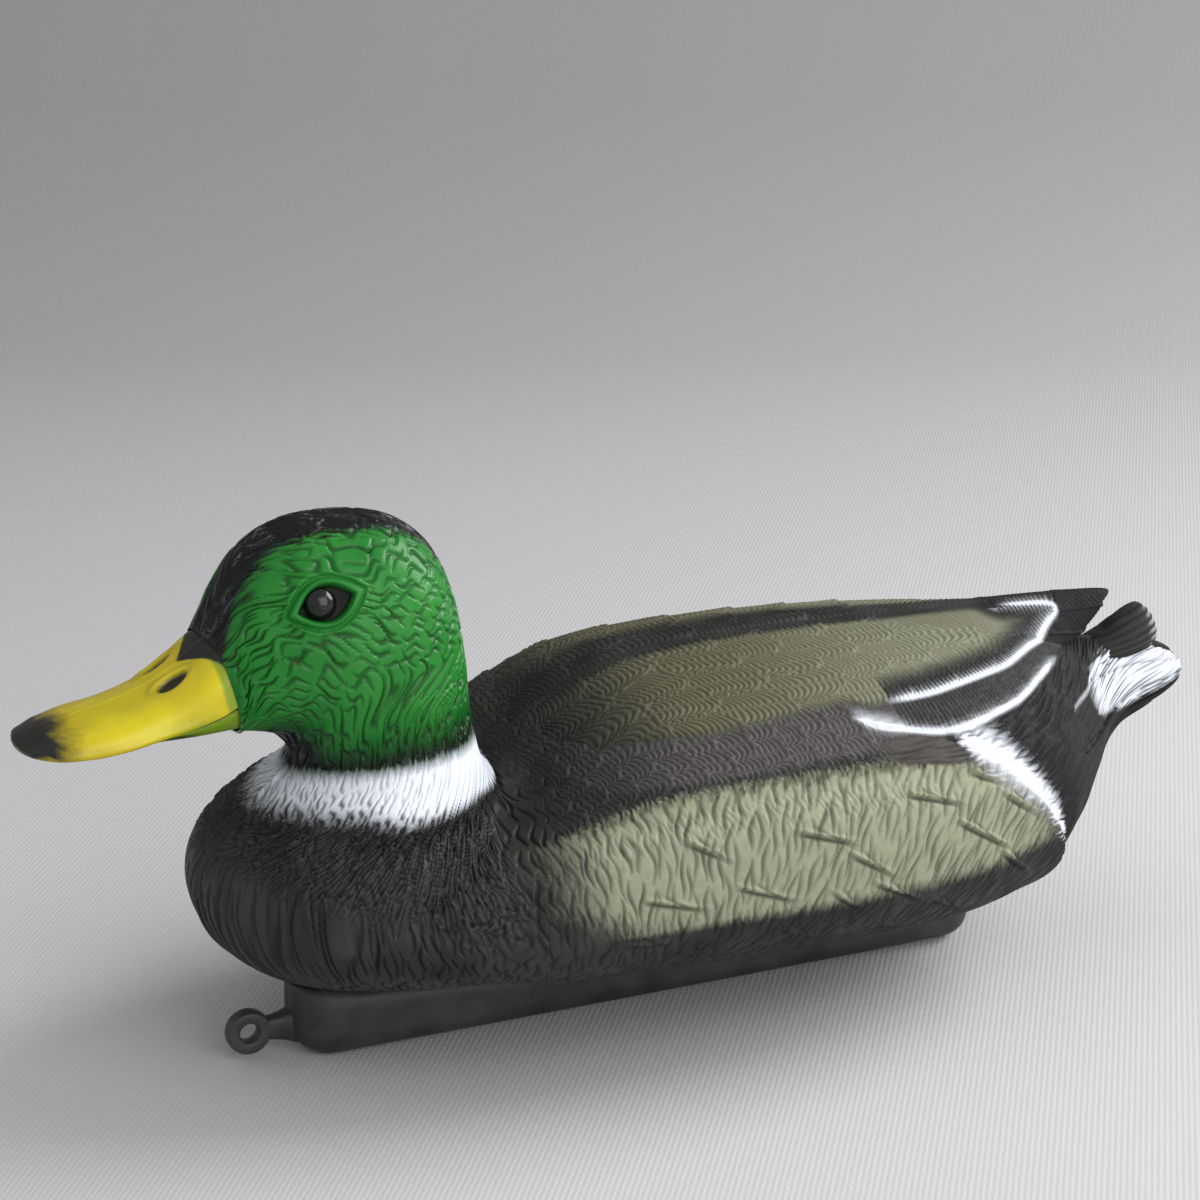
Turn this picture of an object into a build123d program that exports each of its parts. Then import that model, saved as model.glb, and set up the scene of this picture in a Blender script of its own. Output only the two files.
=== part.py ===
"""Floating duck decoy: a hollow two-half moulded duck on a detachable weighted keel.

The duck faces -X, its left side is -Y and +Z is up. The origin is under the middle of the
duck's length, on the flat underside of the keel. Units are millimetres.
"""

from build123d import *
from math import cos, radians, sin
import os

# ---------------------------------------------------------------- driving dimensions
WALL = 2.4                  # moulded wall of the duck and the keel
HULL_RISE = 0.8             # gap between the keel's top and the belly
LEFT, RIGHT = -1, 1         # sides of the centre plane, as signs of Y

# Hull stations from breast to tail: (x, half width, belly z, widest z, back z).
HULL = [
    (-138.5, 12, 38, 49, 60),
    (-133, 29, 30, 49, 69),
    (-120, 47, 25, 49, 80),
    (-95, 63, 21.5, 50, 88),
    (-55, 72, 18, 50, 94),
    (-15, 75, 15.5, 50, 104),
    (30, 75, 14.3, 51, 109),
    (75, 71, 14.8, 53, 110),
    (110, 60, 20.5, 57, 107),
    (135, 48, 30, 62, 102),
    (155, 39, 41.5, 68, 97),
    (172, 32, 54, 73, 91),
    (184, 27, 65, 76.5, 86),
    (190, 23, 72, 77.5, 83),
]
HULL_HOLLOW = slice(1, 11)  # stations that the hull's cavity runs through

# Neck and head levels from the base up: (z, centre x, half length, half width).
HEAD = [
    (60, -86, 30, 36),
    (80, -84.5, 31, 31),
    (92, -85, 28.5, 26),
    (104, -90, 33, 25.5),
    (120, -96, 38, 27),
    (136, -98, 37.5, 26.5),
    (150, -98, 30, 20.5),
    (158, -98.5, 18, 12),
    (161, -99, 7, 5),
]
HEAD_HOLLOW = slice(0, 8)

# Bill stations from the head to the tip: (x, centre z, half height, half width).
BILL = [
    (-120, 116, 15, 17.5),
    (-136, 116, 14.5, 16.5),
    (-150, 112, 11, 16),
    (-165, 109.5, 9, 18),
    (-178, 108.5, 7, 18.5),
    (-186, 107.5, 5, 14.5),
    (-190, 107, 3, 8),
]
BILL_HOLLOW = slice(0, 5)

EYE_X, EYE_Z = -109, 142    # centre of each eye
EYE_R = 5.0                 # bead radius
EYE_SEAT_R = 4.5            # radius of the socket and of the eye's barrel
EYE_STEM_R = 1.75
EYE_BOSS_R = 7.0
EYE_BOSS_IN, EYE_BOSS_OUT = 15.0, 18.5   # inner and outer end of the boss, from the centre plane
EYE_SEAT_Y = 18.0           # floor of the socket
EYE_FRONT_Y = 25.8          # crown of the bead
EYE_STEM_END = 11.5
EYE_DOME_MID_DEG = 30       # a point on the dome, from its crown
RETAINER_R = 4.5
RETAINER_T = 1.2

PEG_XS = (-75, 60)          # two pegs on each side of the centre plane
PEG_Y = 7.0
PEG_R = 3.5
PEG_RISE = 14.0             # peg above the keel's top
PEG_FOOT = 4.0              # peg inside the keel
PEG_CLEARANCE = 0.05
PEG_TIP_CHAMFER = 0.8
SOCKET_DEPTH = 16.0
SOCKET_WALL = 2.2

KEEL_HALF_W = 13.0
KEEL_FRONT, KEEL_REAR = -115.0, 113.0
KEEL_FLAT_FRONT, KEEL_FLAT_REAR = -103.0, 96.0
KEEL_TOP_FRONT, KEEL_TOP_REAR = -113.0, 110.0
KEEL_NOSE_Z = 13.0          # height of the foremost and rearmost lines
KEEL_EDGE_R = 5.0           # along the bottom
KEEL_END_R = 12.0           # seen from above
KEEL_TALLEST = 30.0
KEEL_FLOOR = 2.5            # wall under the ballast

BALLAST_L, BALLAST_W, BALLAST_H = 180.0, 17.0, 6.4
BALLAST_X = -10.0
BALLAST_GAP = 0.2
BALLAST_END_R = 3.0

EYELET_X, EYELET_Z = -127.0, 9.0
EYELET_R = 6.0
EYELET_NECK_H = 6.0
EYELET_BORE_R = 2.8
EYELET_T = 5.0


def belly_z(x):
    """Height of the belly's centre line at x, along straight lines between hull stations."""
    for (x0, _, z0, _, _), (x1, _, z1, _, _) in zip(HULL, HULL[1:]):
        if x0 <= x <= x1:
            return z0 + (z1 - z0) * (x - x0) / (x1 - x0)
    return HULL[-1][2]


def hull_solid(stations, inset):
    """Loft of egg-shaped sections: a shallow half ellipse below and a taller one above."""
    with BuildPart() as hull:
        for x, half_width, low, mid, high in stations:
            with BuildSketch(Plane.YZ.offset(x)):
                with BuildLine():
                    EllipticalCenterArc((0, mid), half_width - inset, high - mid - inset, 0, arc_size=180)
                    EllipticalCenterArc((0, mid), half_width - inset, mid - low - inset, 180, arc_size=180)
                make_face()
        loft()
    return hull.part


def head_solid(levels, inset):
    """Loft of level ellipses up the neck and head."""
    with BuildPart() as head:
        for z, centre_x, half_length, half_width in levels:
            with BuildSketch(Plane.XY.offset(z)):
                with Locations((centre_x, 0)):
                    Ellipse(half_length - inset, half_width - inset)
        loft()
    return head.part


def bill_solid(stations, inset):
    """Loft of upright ellipses out along the bill."""
    with BuildPart() as bill:
        for x, centre_z, half_height, half_width in stations:
            with BuildSketch(Plane.YZ.offset(x)):
                with Locations((0, centre_z)):
                    Ellipse(half_width - inset, half_height - inset)
        loft()
    return bill.part


def half_of(solid, side):
    """The half of a solid on the LEFT or RIGHT side of the centre plane."""
    keep = Keep.TOP if side == LEFT else Keep.BOTTOM
    return split(solid, bisect_by=Plane.XZ, keep=keep, mode=Mode.PRIVATE)


def mirrored(part):
    """The same piece for the other side of the duck."""
    return mirror(part, about=Plane.XZ, mode=Mode.PRIVATE)


def left_shell():
    """The left hollow half of the duck, with its eye boss and its two blind keel sockets."""
    eye_plane = Plane((EYE_X, 0, EYE_Z), x_dir=(1, 0, 0), z_dir=(0, -1, 0))
    with BuildPart() as shell:
        add(half_of(DUCK_OUTER, LEFT))
        add(half_of(DUCK_CAVITY, LEFT), mode=Mode.SUBTRACT)
        # keel sockets: a solid boss on the belly with a blind hole from below
        for x in PEG_XS:
            top = belly_z(x) + SOCKET_DEPTH
            with BuildSketch(Plane.XY.offset(belly_z(x) + WALL / 2)):
                with Locations((x, -PEG_Y)):
                    Circle(PEG_R + PEG_CLEARANCE + SOCKET_WALL)
            extrude(amount=SOCKET_DEPTH + WALL / 2)
            with BuildSketch(Plane.XY.offset(belly_z(x) - WALL)):
                with Locations((x, -PEG_Y)):
                    Circle(PEG_R + PEG_CLEARANCE)
            extrude(amount=top - belly_z(x) + WALL, mode=Mode.SUBTRACT)
        # eye boss inside the cheek, socket from outside, stem hole through
        with BuildSketch(eye_plane.offset(EYE_BOSS_IN)):
            Circle(EYE_BOSS_R)
        extrude(amount=EYE_BOSS_OUT - EYE_BOSS_IN)
        with BuildSketch(eye_plane.offset(EYE_SEAT_Y)):
            Circle(EYE_SEAT_R)
        extrude(amount=EYE_FRONT_Y, mode=Mode.SUBTRACT)
        with BuildSketch(eye_plane.offset(EYE_BOSS_IN - WALL)):
            Circle(EYE_STEM_R)
        extrude(amount=EYE_SEAT_Y, mode=Mode.SUBTRACT)
    return shell.part


def left_eye_bead():
    """Turned bead: stem, barrel that fills the socket, and a domed front."""
    dome_foot = EYE_FRONT_Y - EYE_R + (EYE_R**2 - EYE_SEAT_R**2) ** 0.5
    dome_mid = EYE_FRONT_Y - EYE_R + EYE_R * cos(radians(EYE_DOME_MID_DEG))
    profile_plane = Plane((EYE_X, 0, EYE_Z), x_dir=(1, 0, 0), z_dir=(0, 0, -1))
    with BuildPart() as eye:
        with BuildSketch(profile_plane):
            with BuildLine():
                Polyline(
                    (0, EYE_FRONT_Y),
                    (0, EYE_STEM_END),
                    (EYE_STEM_R, EYE_STEM_END),
                    (EYE_STEM_R, EYE_SEAT_Y),
                    (EYE_SEAT_R, EYE_SEAT_Y),
                    (EYE_SEAT_R, dome_foot),
                )
                ThreePointArc(
                    (EYE_SEAT_R, dome_foot),
                    (EYE_R * sin(radians(EYE_DOME_MID_DEG)), dome_mid),
                    (0, EYE_FRONT_Y),
                )
            make_face()
        revolve(axis=Axis((EYE_X, 0, EYE_Z), (0, 1, 0)))
    return eye.part


def keel_outline():
    """Side outline of the keel: flat below, rounded ends, and a top that follows the belly."""
    stations = [x for x, *_ in HULL if KEEL_TOP_FRONT < x < KEEL_TOP_REAR]
    xs = [KEEL_TOP_FRONT, *stations, KEEL_TOP_REAR]
    top_points = [(x, belly_z(x) - HULL_RISE) for x in xs]
    with BuildLine() as line:
        Line((KEEL_FLAT_FRONT, 0), (KEEL_FLAT_REAR, 0))
        ThreePointArc((KEEL_FLAT_REAR, 0), (KEEL_REAR - 5, 4), (KEEL_REAR, KEEL_NOSE_Z))
        Line((KEEL_REAR, KEEL_NOSE_Z), top_points[-1])
        Spline(*reversed(top_points))
        Line(top_points[0], (KEEL_FRONT, KEEL_NOSE_Z))
        ThreePointArc((KEEL_FRONT, KEEL_NOSE_Z), (KEEL_FRONT + 3.5, 4), (KEEL_FLAT_FRONT, 0))
    return line.line


def keel_solid():
    """The whole keel before it is parted: side outline, rounded section and round-ended plan in one."""
    length = KEEL_REAR - KEEL_FRONT
    with BuildPart() as keel:
        with BuildSketch(Plane.XZ):
            add(keel_outline())
            make_face()
        extrude(amount=KEEL_HALF_W, both=True)
        with BuildSketch(Plane.YZ.offset(KEEL_FRONT)):
            with Locations((0, KEEL_TALLEST)):
                RectangleRounded(2 * KEEL_HALF_W, 2 * KEEL_TALLEST, KEEL_EDGE_R)
        extrude(amount=length, mode=Mode.INTERSECT)
        with BuildSketch(Plane.XY):
            with Locations(((KEEL_FRONT + KEEL_REAR) / 2, 0)):
                RectangleRounded(length, 2 * KEEL_HALF_W, KEEL_END_R)
        extrude(amount=KEEL_TALLEST, mode=Mode.INTERSECT)
    return keel.part


def keel_cavity():
    """Pocket along the bottom of the keel that holds the ballast bar."""
    height = BALLAST_H + BALLAST_GAP
    with BuildPart() as cavity:
        with Locations((BALLAST_X, 0, KEEL_FLOOR + height / 2)):
            Box(BALLAST_L + 2 * BALLAST_GAP, BALLAST_W + 2 * BALLAST_GAP, height)
    return cavity.part


# ---------------------------------------------------------------- whole bodies, before parting
with BuildPart() as duck_outer:
    add(hull_solid(HULL, 0))
    add(head_solid(HEAD, 0))
    add(bill_solid(BILL, 0))
DUCK_OUTER = duck_outer.part

with BuildPart() as duck_cavity:
    add(hull_solid(HULL[HULL_HOLLOW], WALL))
    add(head_solid(HEAD[HEAD_HOLLOW], WALL))
    add(bill_solid(BILL[BILL_HOLLOW], WALL))
DUCK_CAVITY = duck_cavity.part

KEEL_WHOLE = keel_solid()
KEEL_POCKET = keel_cavity()


def peg_holes():
    """The four peg feet as one part, used to cut their holes in the keel's top."""
    with BuildPart() as holes:
        for x in PEG_XS:
            for side in (LEFT, RIGHT):
                with BuildSketch(Plane.XY.offset(belly_z(x) - HULL_RISE - PEG_FOOT)):
                    with Locations((x, side * PEG_Y)):
                        Circle(PEG_R)
                extrude(amount=2 * PEG_FOOT)
    return holes.part


PEG_HOLES = peg_holes()


def keel_half(side):
    """One half of the keel; the left half carries the whole eyelet."""
    with BuildPart() as half:
        add(half_of(KEEL_WHOLE, side))
        add(KEEL_POCKET, mode=Mode.SUBTRACT)
        add(PEG_HOLES, mode=Mode.SUBTRACT)
        if side == LEFT:
            with BuildSketch(Plane.XZ.offset(-EYELET_T / 2)):
                with Locations((EYELET_X, EYELET_Z)):
                    Circle(EYELET_R)
                with Locations(((EYELET_X + KEEL_FLAT_FRONT) / 2, EYELET_Z)):
                    Rectangle(KEEL_FLAT_FRONT - EYELET_X, EYELET_NECK_H)
            extrude(amount=EYELET_T)
            add(half_of(KEEL_WHOLE, RIGHT), mode=Mode.SUBTRACT)
            with BuildSketch(Plane.XZ.offset(-EYELET_T)):
                with Locations((EYELET_X, EYELET_Z)):
                    Circle(EYELET_BORE_R)
            extrude(amount=2 * EYELET_T, mode=Mode.SUBTRACT)
    return half.part


def write(part, name):
    """Label a finished piece and write it as parts/NAME.step."""
    part.label = name
    export_step(part, f"parts/{name}.step")


os.makedirs("parts", exist_ok=True)

# ---------------------------------------------------------------- duck
left_body_shell = left_shell()
write(left_body_shell, "left_body_shell")
write(mirrored(left_body_shell), "right_body_shell")

left_eye = left_eye_bead()
write(left_eye, "left_eye")
write(mirrored(left_eye), "right_eye")

with BuildPart() as eye_retainers:
    for side in (LEFT, RIGHT):
        plane = Plane((EYE_X, 0, EYE_Z), x_dir=(1, 0, 0), z_dir=(0, side, 0))
        with BuildSketch(plane.offset(EYE_BOSS_IN - RETAINER_T)):
            Circle(RETAINER_R)
            Circle(EYE_STEM_R, mode=Mode.SUBTRACT)
        extrude(amount=RETAINER_T)
write(eye_retainers.part, "eye_retainers")

# ---------------------------------------------------------------- keel
write(keel_half(LEFT), "keel_left_shell")
write(keel_half(RIGHT), "keel_right_shell")

with BuildPart() as keel_pegs:
    for x in PEG_XS:
        with BuildSketch(Plane.XY.offset(belly_z(x) - HULL_RISE - PEG_FOOT)):
            with Locations((x, -PEG_Y), (x, PEG_Y)):
                Circle(PEG_R)
        extrude(amount=PEG_FOOT + PEG_RISE)
    chamfer(keel_pegs.edges().group_by(Axis.Z)[-1], length=PEG_TIP_CHAMFER)
write(keel_pegs.part, "keel_pegs")

with BuildPart() as ballast_bar:
    with Locations((BALLAST_X, 0, KEEL_FLOOR + BALLAST_H / 2)):
        Box(BALLAST_L, BALLAST_W, BALLAST_H)
    fillet(ballast_bar.edges().filter_by(Axis.Z), radius=BALLAST_END_R)
write(ballast_bar.part, "ballast_bar")
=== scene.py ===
"""Looks of the floating duck decoy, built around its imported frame.

The duck faces -X, its left side is -Y and +Z is up. Sizes in this file are in millimetres and
become metres where a mesh is written. Every skin is a surface worked out on a grid with numpy.
"""

import logging
import math
from dataclasses import dataclass
from enum import Enum

import bpy
import numpy as np
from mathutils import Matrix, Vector


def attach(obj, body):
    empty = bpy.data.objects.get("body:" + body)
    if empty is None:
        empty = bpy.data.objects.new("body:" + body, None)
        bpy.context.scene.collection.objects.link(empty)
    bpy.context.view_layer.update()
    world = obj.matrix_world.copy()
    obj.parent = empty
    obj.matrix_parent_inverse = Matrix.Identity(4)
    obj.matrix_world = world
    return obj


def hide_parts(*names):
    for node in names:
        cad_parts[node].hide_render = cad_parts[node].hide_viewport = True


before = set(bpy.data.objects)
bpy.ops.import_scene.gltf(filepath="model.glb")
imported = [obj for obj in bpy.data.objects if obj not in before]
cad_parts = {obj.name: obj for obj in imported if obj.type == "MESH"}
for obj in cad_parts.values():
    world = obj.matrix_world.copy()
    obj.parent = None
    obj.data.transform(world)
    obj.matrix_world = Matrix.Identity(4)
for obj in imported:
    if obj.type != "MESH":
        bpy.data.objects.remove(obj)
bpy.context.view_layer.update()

log = logging.getLogger("duck_decoy")
Grid = np.ndarray
Piece = bpy.types.Object
Socket = bpy.types.NodeSocket
Material = bpy.types.Material

MM = 0.001
HATCH_PITCH = 1.55  # between the hatch lines along the wing's white line
BACK_SHARE = 0.56  # share of a ring's turn above which the outlines seen from above apply
NEUTRAL_GLOSS = 0.35
TINY = 1e-9


class Side(Enum):
    """The two sides of the centre plane, as signs of Y."""

    LEFT = -1
    RIGHT = 1

    @property
    def word(self) -> str:
        """The side's name as used in piece names."""
        return self.name.lower()


# ------------------------------------------------------------------------------ numbers on grids
def smooth(low: float, high: float, value: Grid) -> Grid:
    """Smooth step: 0 at low, 1 at high, with flat ends (3t^2 - 2t^3). low may exceed high."""
    t = np.clip((value - low) / (high - low), 0.0, 1.0)
    return t * t * (3.0 - 2.0 * t)


def bell(value: Grid, width: float | Grid) -> Grid:
    """Bell curve of the given half width: e^-(v/width)^2."""
    return np.exp(-((value / width) ** 2))


def from_middle(count: Grid) -> Grid:
    """Offset from the middle of the cell that a counted coordinate lies in, -0.5 to 0.5."""
    return count - np.floor(count) - 0.5


def hatching(walked: Grid, width: float) -> Grid:
    """Fine cross lines at a fixed pitch along a walked length, as bells of the given width."""
    return bell(from_middle(walked / HATCH_PITCH), width)


def signed_power(value: Grid, power: float | Grid) -> Grid:
    """The value's size raised to a power with its sign kept, as a superellipse needs it."""
    return np.sign(value) * np.abs(value) ** power


def joined(*columns: float | Grid) -> Grid:
    """Numbers, rows and columns spread to one common shape and stacked as the last axis."""
    return np.stack(np.broadcast_arrays(*columns), -1)


def lattice(ix: Grid, iy: Grid, seed: int) -> Grid:
    """Fixed pseudo-random value from 0 to 1 at whole-number points, from mixed integer products."""
    h = (ix.astype(np.int64) * 374761393 + iy.astype(np.int64) * 668265263 + seed * 974634777) & 0xFFFFFFFF
    h = ((h ^ (h >> 13)) * 1274126177) & 0xFFFFFFFF
    return ((h ^ (h >> 16)) & 0xFFFF) / 65535.0


def ripple(x: Grid, y: Grid, seed: int) -> Grid:
    """Smooth value noise from -1 to 1.

    The four lattice values round each point are mixed with smooth-step weights.

    Args:
        x: first coordinate, one noise cell per unit.
        y: second coordinate, one noise cell per unit.
        seed: picks the lattice.

    Returns:
        Noise at every point.
    """
    x, y = np.broadcast_arrays(x, y)
    ix, iy = np.floor(x), np.floor(y)
    fx, fy = x - ix, y - iy
    fx, fy = fx * fx * (3 - 2 * fx), fy * fy * (3 - 2 * fy)
    low = lattice(ix, iy, seed) * (1 - fx) + lattice(ix + 1, iy, seed) * fx
    high = lattice(ix, iy + 1, seed) * (1 - fx) + lattice(ix + 1, iy + 1, seed) * fx
    return 2 * (low * (1 - fy) + high * fy) - 1


def arc_length(points: Grid, axis: int) -> Grid:
    """Distance walked along one grid direction: the running sum of the steps' lengths."""
    steps = np.linalg.norm(np.diff(points, axis=axis), axis=-1)
    pad = [(0, 0), (0, 0)]
    pad[axis] = (1, 0)
    return np.pad(np.cumsum(steps, axis=axis), pad)


def unit_normals(points: Grid) -> Grid:
    """Unit normals of a grid surface: the cross product of its two grid directions, made unit."""
    n = np.cross(np.gradient(points, axis=1), np.gradient(points, axis=0))
    return n / np.maximum(np.linalg.norm(n, axis=-1, keepdims=True), TINY)


def outward_normals(points: Grid) -> Grid:
    """Unit normals of a half skin, laid into the centre plane on its two seam lines."""
    n = unit_normals(points)
    n[:, [0, -1], 1] = 0.0
    return n


def catmull_rom(knots: tuple, place: Grid) -> Grid:
    """Smooth curve through knots: on each span a cubic set by the knots on either side.

    Args:
        knots: rows of numbers.
        place: where to sample, counted in knots.

    Returns:
        One row for each place.
    """
    p = np.array(knots, float)
    p = np.vstack([2 * p[0] - p[1], p, 2 * p[-1] - p[-2]])
    k = np.minimum(place.astype(int), len(knots) - 2)
    t = (place - k)[:, None]
    a, b, c, d = p[k], p[k + 1], p[k + 2], p[k + 3]
    return 0.5 * (2 * b + (c - a) * t + (2 * a - 5 * b + 4 * c - d) * t**2 + (3 * b - a - 3 * c + d) * t**3)


def through(rows: tuple, spacing: float) -> tuple[Grid, Grid]:
    """Runs a smooth curve through table rows and samples it evenly.

    The samples are spaced so that neither end point of a ring (the first four columns) nor its
    half width (the fifth) moves more than the spacing.

    Args:
        rows: the stations, all of one length.
        spacing: largest step in millimetres.

    Returns:
        The sampled rows, and each sample's place counted in stations.
    """
    place = np.linspace(0, len(rows) - 1, (len(rows) - 1) * 48 + 1)
    curve = catmull_rom(rows, place)
    step = np.diff(curve[:, :5], axis=0)
    moved = np.maximum(np.hypot(step[:, 0], step[:, 1]), np.hypot(step[:, 2], step[:, 3]))
    walked = np.concatenate([[0], np.cumsum(np.maximum(moved, np.abs(step[:, 4])))])
    even = np.linspace(0, walked[-1], int(walked[-1] / spacing) + 1)
    sampled = np.stack([np.interp(even, walked, column) for column in curve.T], -1)
    return sampled, np.interp(even, walked, place)


def near_line(x: Grid, y: Grid, knots: tuple) -> tuple[Grid, Grid]:
    """Distance from each point to a smooth open curve, and the place along it.

    The curve is cut into short straight pieces. The distance to each is found by projection, and
    the least is kept.

    Args:
        x: first coordinate of the points.
        y: second coordinate.
        knots: the curve's knots as (x, y).

    Returns:
        Distance, positive on the curve's left, and the length walked to the nearest place.
    """
    curve = catmull_rom(knots, np.linspace(0, len(knots) - 1, 4 * len(knots)))
    best = np.full(x.shape, 1e9)
    left, walked, total = np.ones(x.shape), np.zeros(x.shape), 0.0
    for (ax, ay), (bx, by) in zip(curve[:-1], curve[1:]):
        dx, dy = bx - ax, by - ay
        size = math.hypot(dx, dy)
        t = np.clip(((x - ax) * dx + (y - ay) * dy) / size**2, 0, 1)
        gap = np.hypot(x - ax - t * dx, y - ay - t * dy)
        nearer = gap < best
        best = np.where(nearer, gap, best)
        left = np.where(nearer, np.where(dx * (y - ay) > dy * (x - ax), 1.0, -1.0), left)
        walked = np.where(nearer, total + t * size, walked)
        total += size
    return best * left, walked


def half_rings(stations: Grid, count: int) -> tuple[Grid, Grid]:
    """Half rings between a lower and an upper line on the centre plane, on the left side.

    A ring leaves the lower line (columns 0, 1), swells to its half width (column 4) at the
    fraction of column 5, and closes on the upper line (columns 2, 3). Below the widest place it is
    a superellipse of the exponent in column 6 and above it of the exponent in column 7.

    Args:
        stations: sampled rows of eight columns.
        count: points along each ring.

    Returns:
        Points (ring, point, xyz) and each point's share of the ring's turn, 0 below to 1 above.
    """
    lx, lz, ux, uz, wide, mid, low_p, high_p = (stations[:, i : i + 1] for i in range(8))
    turn = np.linspace(0, np.pi, count)[None, :]
    c, s = np.cos(turn), np.abs(np.sin(turn))
    s[:, [0, -1]] = 0.0
    power = 2.0 / np.where(c > 0, low_p, high_p)
    rise = signed_power(c, power)
    share = np.where(c > 0, mid * (1 - rise), mid - (1 - mid) * rise)
    points = joined(lx + (ux - lx) * share, -wide * s**power, lz + (uz - lz) * share)
    return points, np.broadcast_to(turn / np.pi, points.shape[:2])


# ------------------------------------------------------------------------------ moulded relief
def strokes(across: Grid, along: Grid, pitch: float, length: float, seed: int, bend: float = 1.0) -> Grid:
    """Short carved strokes in staggered rows, like combed down.

    Each row is cut into cells of one length, shifted at random. A cell holds one stroke: its
    width tapers as 1 - t^2 towards both ends, and its own random numbers set its size, offset and
    lean. The three nearest rows are tried and the deepest stroke wins.

    Args:
        across: distance across the rows.
        along: distance along them.
        pitch: distance between rows.
        length: length of a cell.
        seed: picks the random numbers.
        bend: how much rows wander and strokes lean.

    Returns:
        Stroke depth from 0 to 1.
    """
    strayed = across + 0.9 * bend * pitch * ripple(along / (1.3 * length), across / (4.5 * pitch), seed)
    base = np.floor(strayed / pitch)
    depth = np.zeros(strayed.shape)
    for step in (-1, 0, 1):
        row = base + step
        place = along / length + 7.0 * lattice(row, row, seed + 1)
        cell = np.floor(place)
        size, offset, lean = (lattice(row, cell, seed + k) for k in (2, 3, 4))
        t = (place - cell - 0.5) / (0.40 + 0.12 * size)
        taper = np.clip(1 - t * t, 0, 1)
        curl = 0.6 * (lean - 0.5) * t + 0.28 * np.sin(3.4 * t + 6 * lean)
        away = strayed / pitch - (row + 0.5 + 0.5 * (offset - 0.5)) - bend * curl
        depth = np.maximum(depth, bell(away, 0.08 + 0.14 * taper) * np.sqrt(taper) * (0.6 + 0.4 * lean))
    return depth


def feather_rows(s: Grid, t: Grid, length: float, width: float, pitch: float, seed: int) -> tuple[Grid, Grid]:
    """Staggered rows of rounded feathers that overlap along +s, with herringbone barbs.

    Each row's tips are half ellipses reaching over the next row. The edge height falls off from
    the tip inwards, and barbs are grooves on lines that run back from the quill at a slant.

    Args:
        s: distance along the feathers, towards their tips.
        t: distance across them.
        length: distance between rows.
        width: width of a feather.
        pitch: distance between barbs.
        seed: picks the irregularity.

    Returns:
        Edge height from 0 to 1, and groove depth from 0 to 1.
    """
    s = s + 0.22 * length * ripple(t / (1.3 * width), s / (1.5 * length), seed)
    t = t + 0.20 * width * ripple(s / (1.2 * length), t / (1.6 * width), seed + 1)
    reach = 0.55 * length

    def place(row: Grid) -> tuple[Grid, Grid]:
        """Distance to the tip of that row's feather, and the offset from its quill."""
        column = t / width + 0.5 * np.mod(row, 2)
        off = from_middle(column) * width
        tip = (row + 1) * length + reach * np.sqrt(np.clip(1 - (2 * off / width) ** 2, 0, 1)) - reach / 2
        return tip - s, off

    row = np.floor(s / length)
    over, over_off = place(row - 1)
    own, own_off = place(row)
    under, under_off = place(row + 1)
    to_tip = np.where(over > 0, over, np.where(own > 0, own, under))
    off = np.where(over > 0, over_off, np.where(own > 0, own_off, under_off))
    edge = np.exp(-to_tip / (0.30 * length)) * (1 - 0.5 * (2 * off / width) ** 2)
    barb = (to_tip + 0.5 * np.abs(off) + 0.35 * pitch * ripple(s / 5, t / 4, seed + 2)) / pitch
    groove = bell(from_middle(barb) * pitch, 0.24 * pitch)
    rim = bell(to_tip, 0.5)
    quill = bell(off, 0.35) * smooth(0.8, 2.5, to_tip)
    return edge, np.maximum(np.maximum(groove * 0.8 * (1 - quill), rim), 0.5 * quill)


# ------------------------------------------------------------------------------ meshes
def surface(name: str, points: Grid, normals: Grid | None = None, wrap: bool = False) -> Piece:
    """Makes a mesh object from a grid of points.

    Args:
        name: the piece's name.
        points: (rows, columns, xyz) in millimetres, ordered so that faces point outwards.
        normals: shading normals of the same shape, or None to take Blender's own.
        wrap: whether the last column joins the first.

    Returns:
        The object, at the origin.
    """
    rows, columns = points.shape[:2]
    index = np.arange(rows * columns).reshape(rows, columns)
    if wrap:
        index = np.concatenate([index, index[:, :1]], axis=1)
    quads = np.stack([index[:-1, :-1], index[:-1, 1:], index[1:, 1:], index[1:, :-1]], -1).reshape(-1, 4)
    mesh = bpy.data.meshes.new(name)
    mesh.vertices.add(rows * columns)
    mesh.vertices.foreach_set("co", (points.reshape(-1) * MM).astype(np.float32))
    mesh.loops.add(quads.size)
    mesh.loops.foreach_set("vertex_index", quads.reshape(-1).astype(np.int32))
    mesh.polygons.add(len(quads))
    mesh.polygons.foreach_set("loop_start", np.arange(0, quads.size, 4, dtype=np.int32))
    mesh.update(calc_edges=True)
    mesh.polygons.foreach_set("use_smooth", np.ones(len(quads), bool))
    if normals is not None:
        mesh.normals_split_custom_set_from_vertices(normals.reshape(-1, 3).tolist())
    piece = bpy.data.objects.new(name, mesh)
    bpy.context.scene.collection.objects.link(piece)
    return piece


def mark(piece: Piece, name: str, channels: list[Grid]) -> None:
    """Writes three grids as one colour attribute on a piece's points."""
    stack = np.stack([np.clip(c, 0, 1) for c in channels] + [np.ones_like(channels[0])], -1)
    layer = piece.data.attributes.new(name, "FLOAT_COLOR", "POINT")
    layer.data.foreach_set("color", stack.reshape(-1).astype(np.float32))


def mirrored(points: Grid) -> Grid:
    """The same grid on the other side, with its columns reversed so that faces still point outwards."""
    return points[:, ::-1] * np.array([1.0, -1.0, 1.0])


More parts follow.
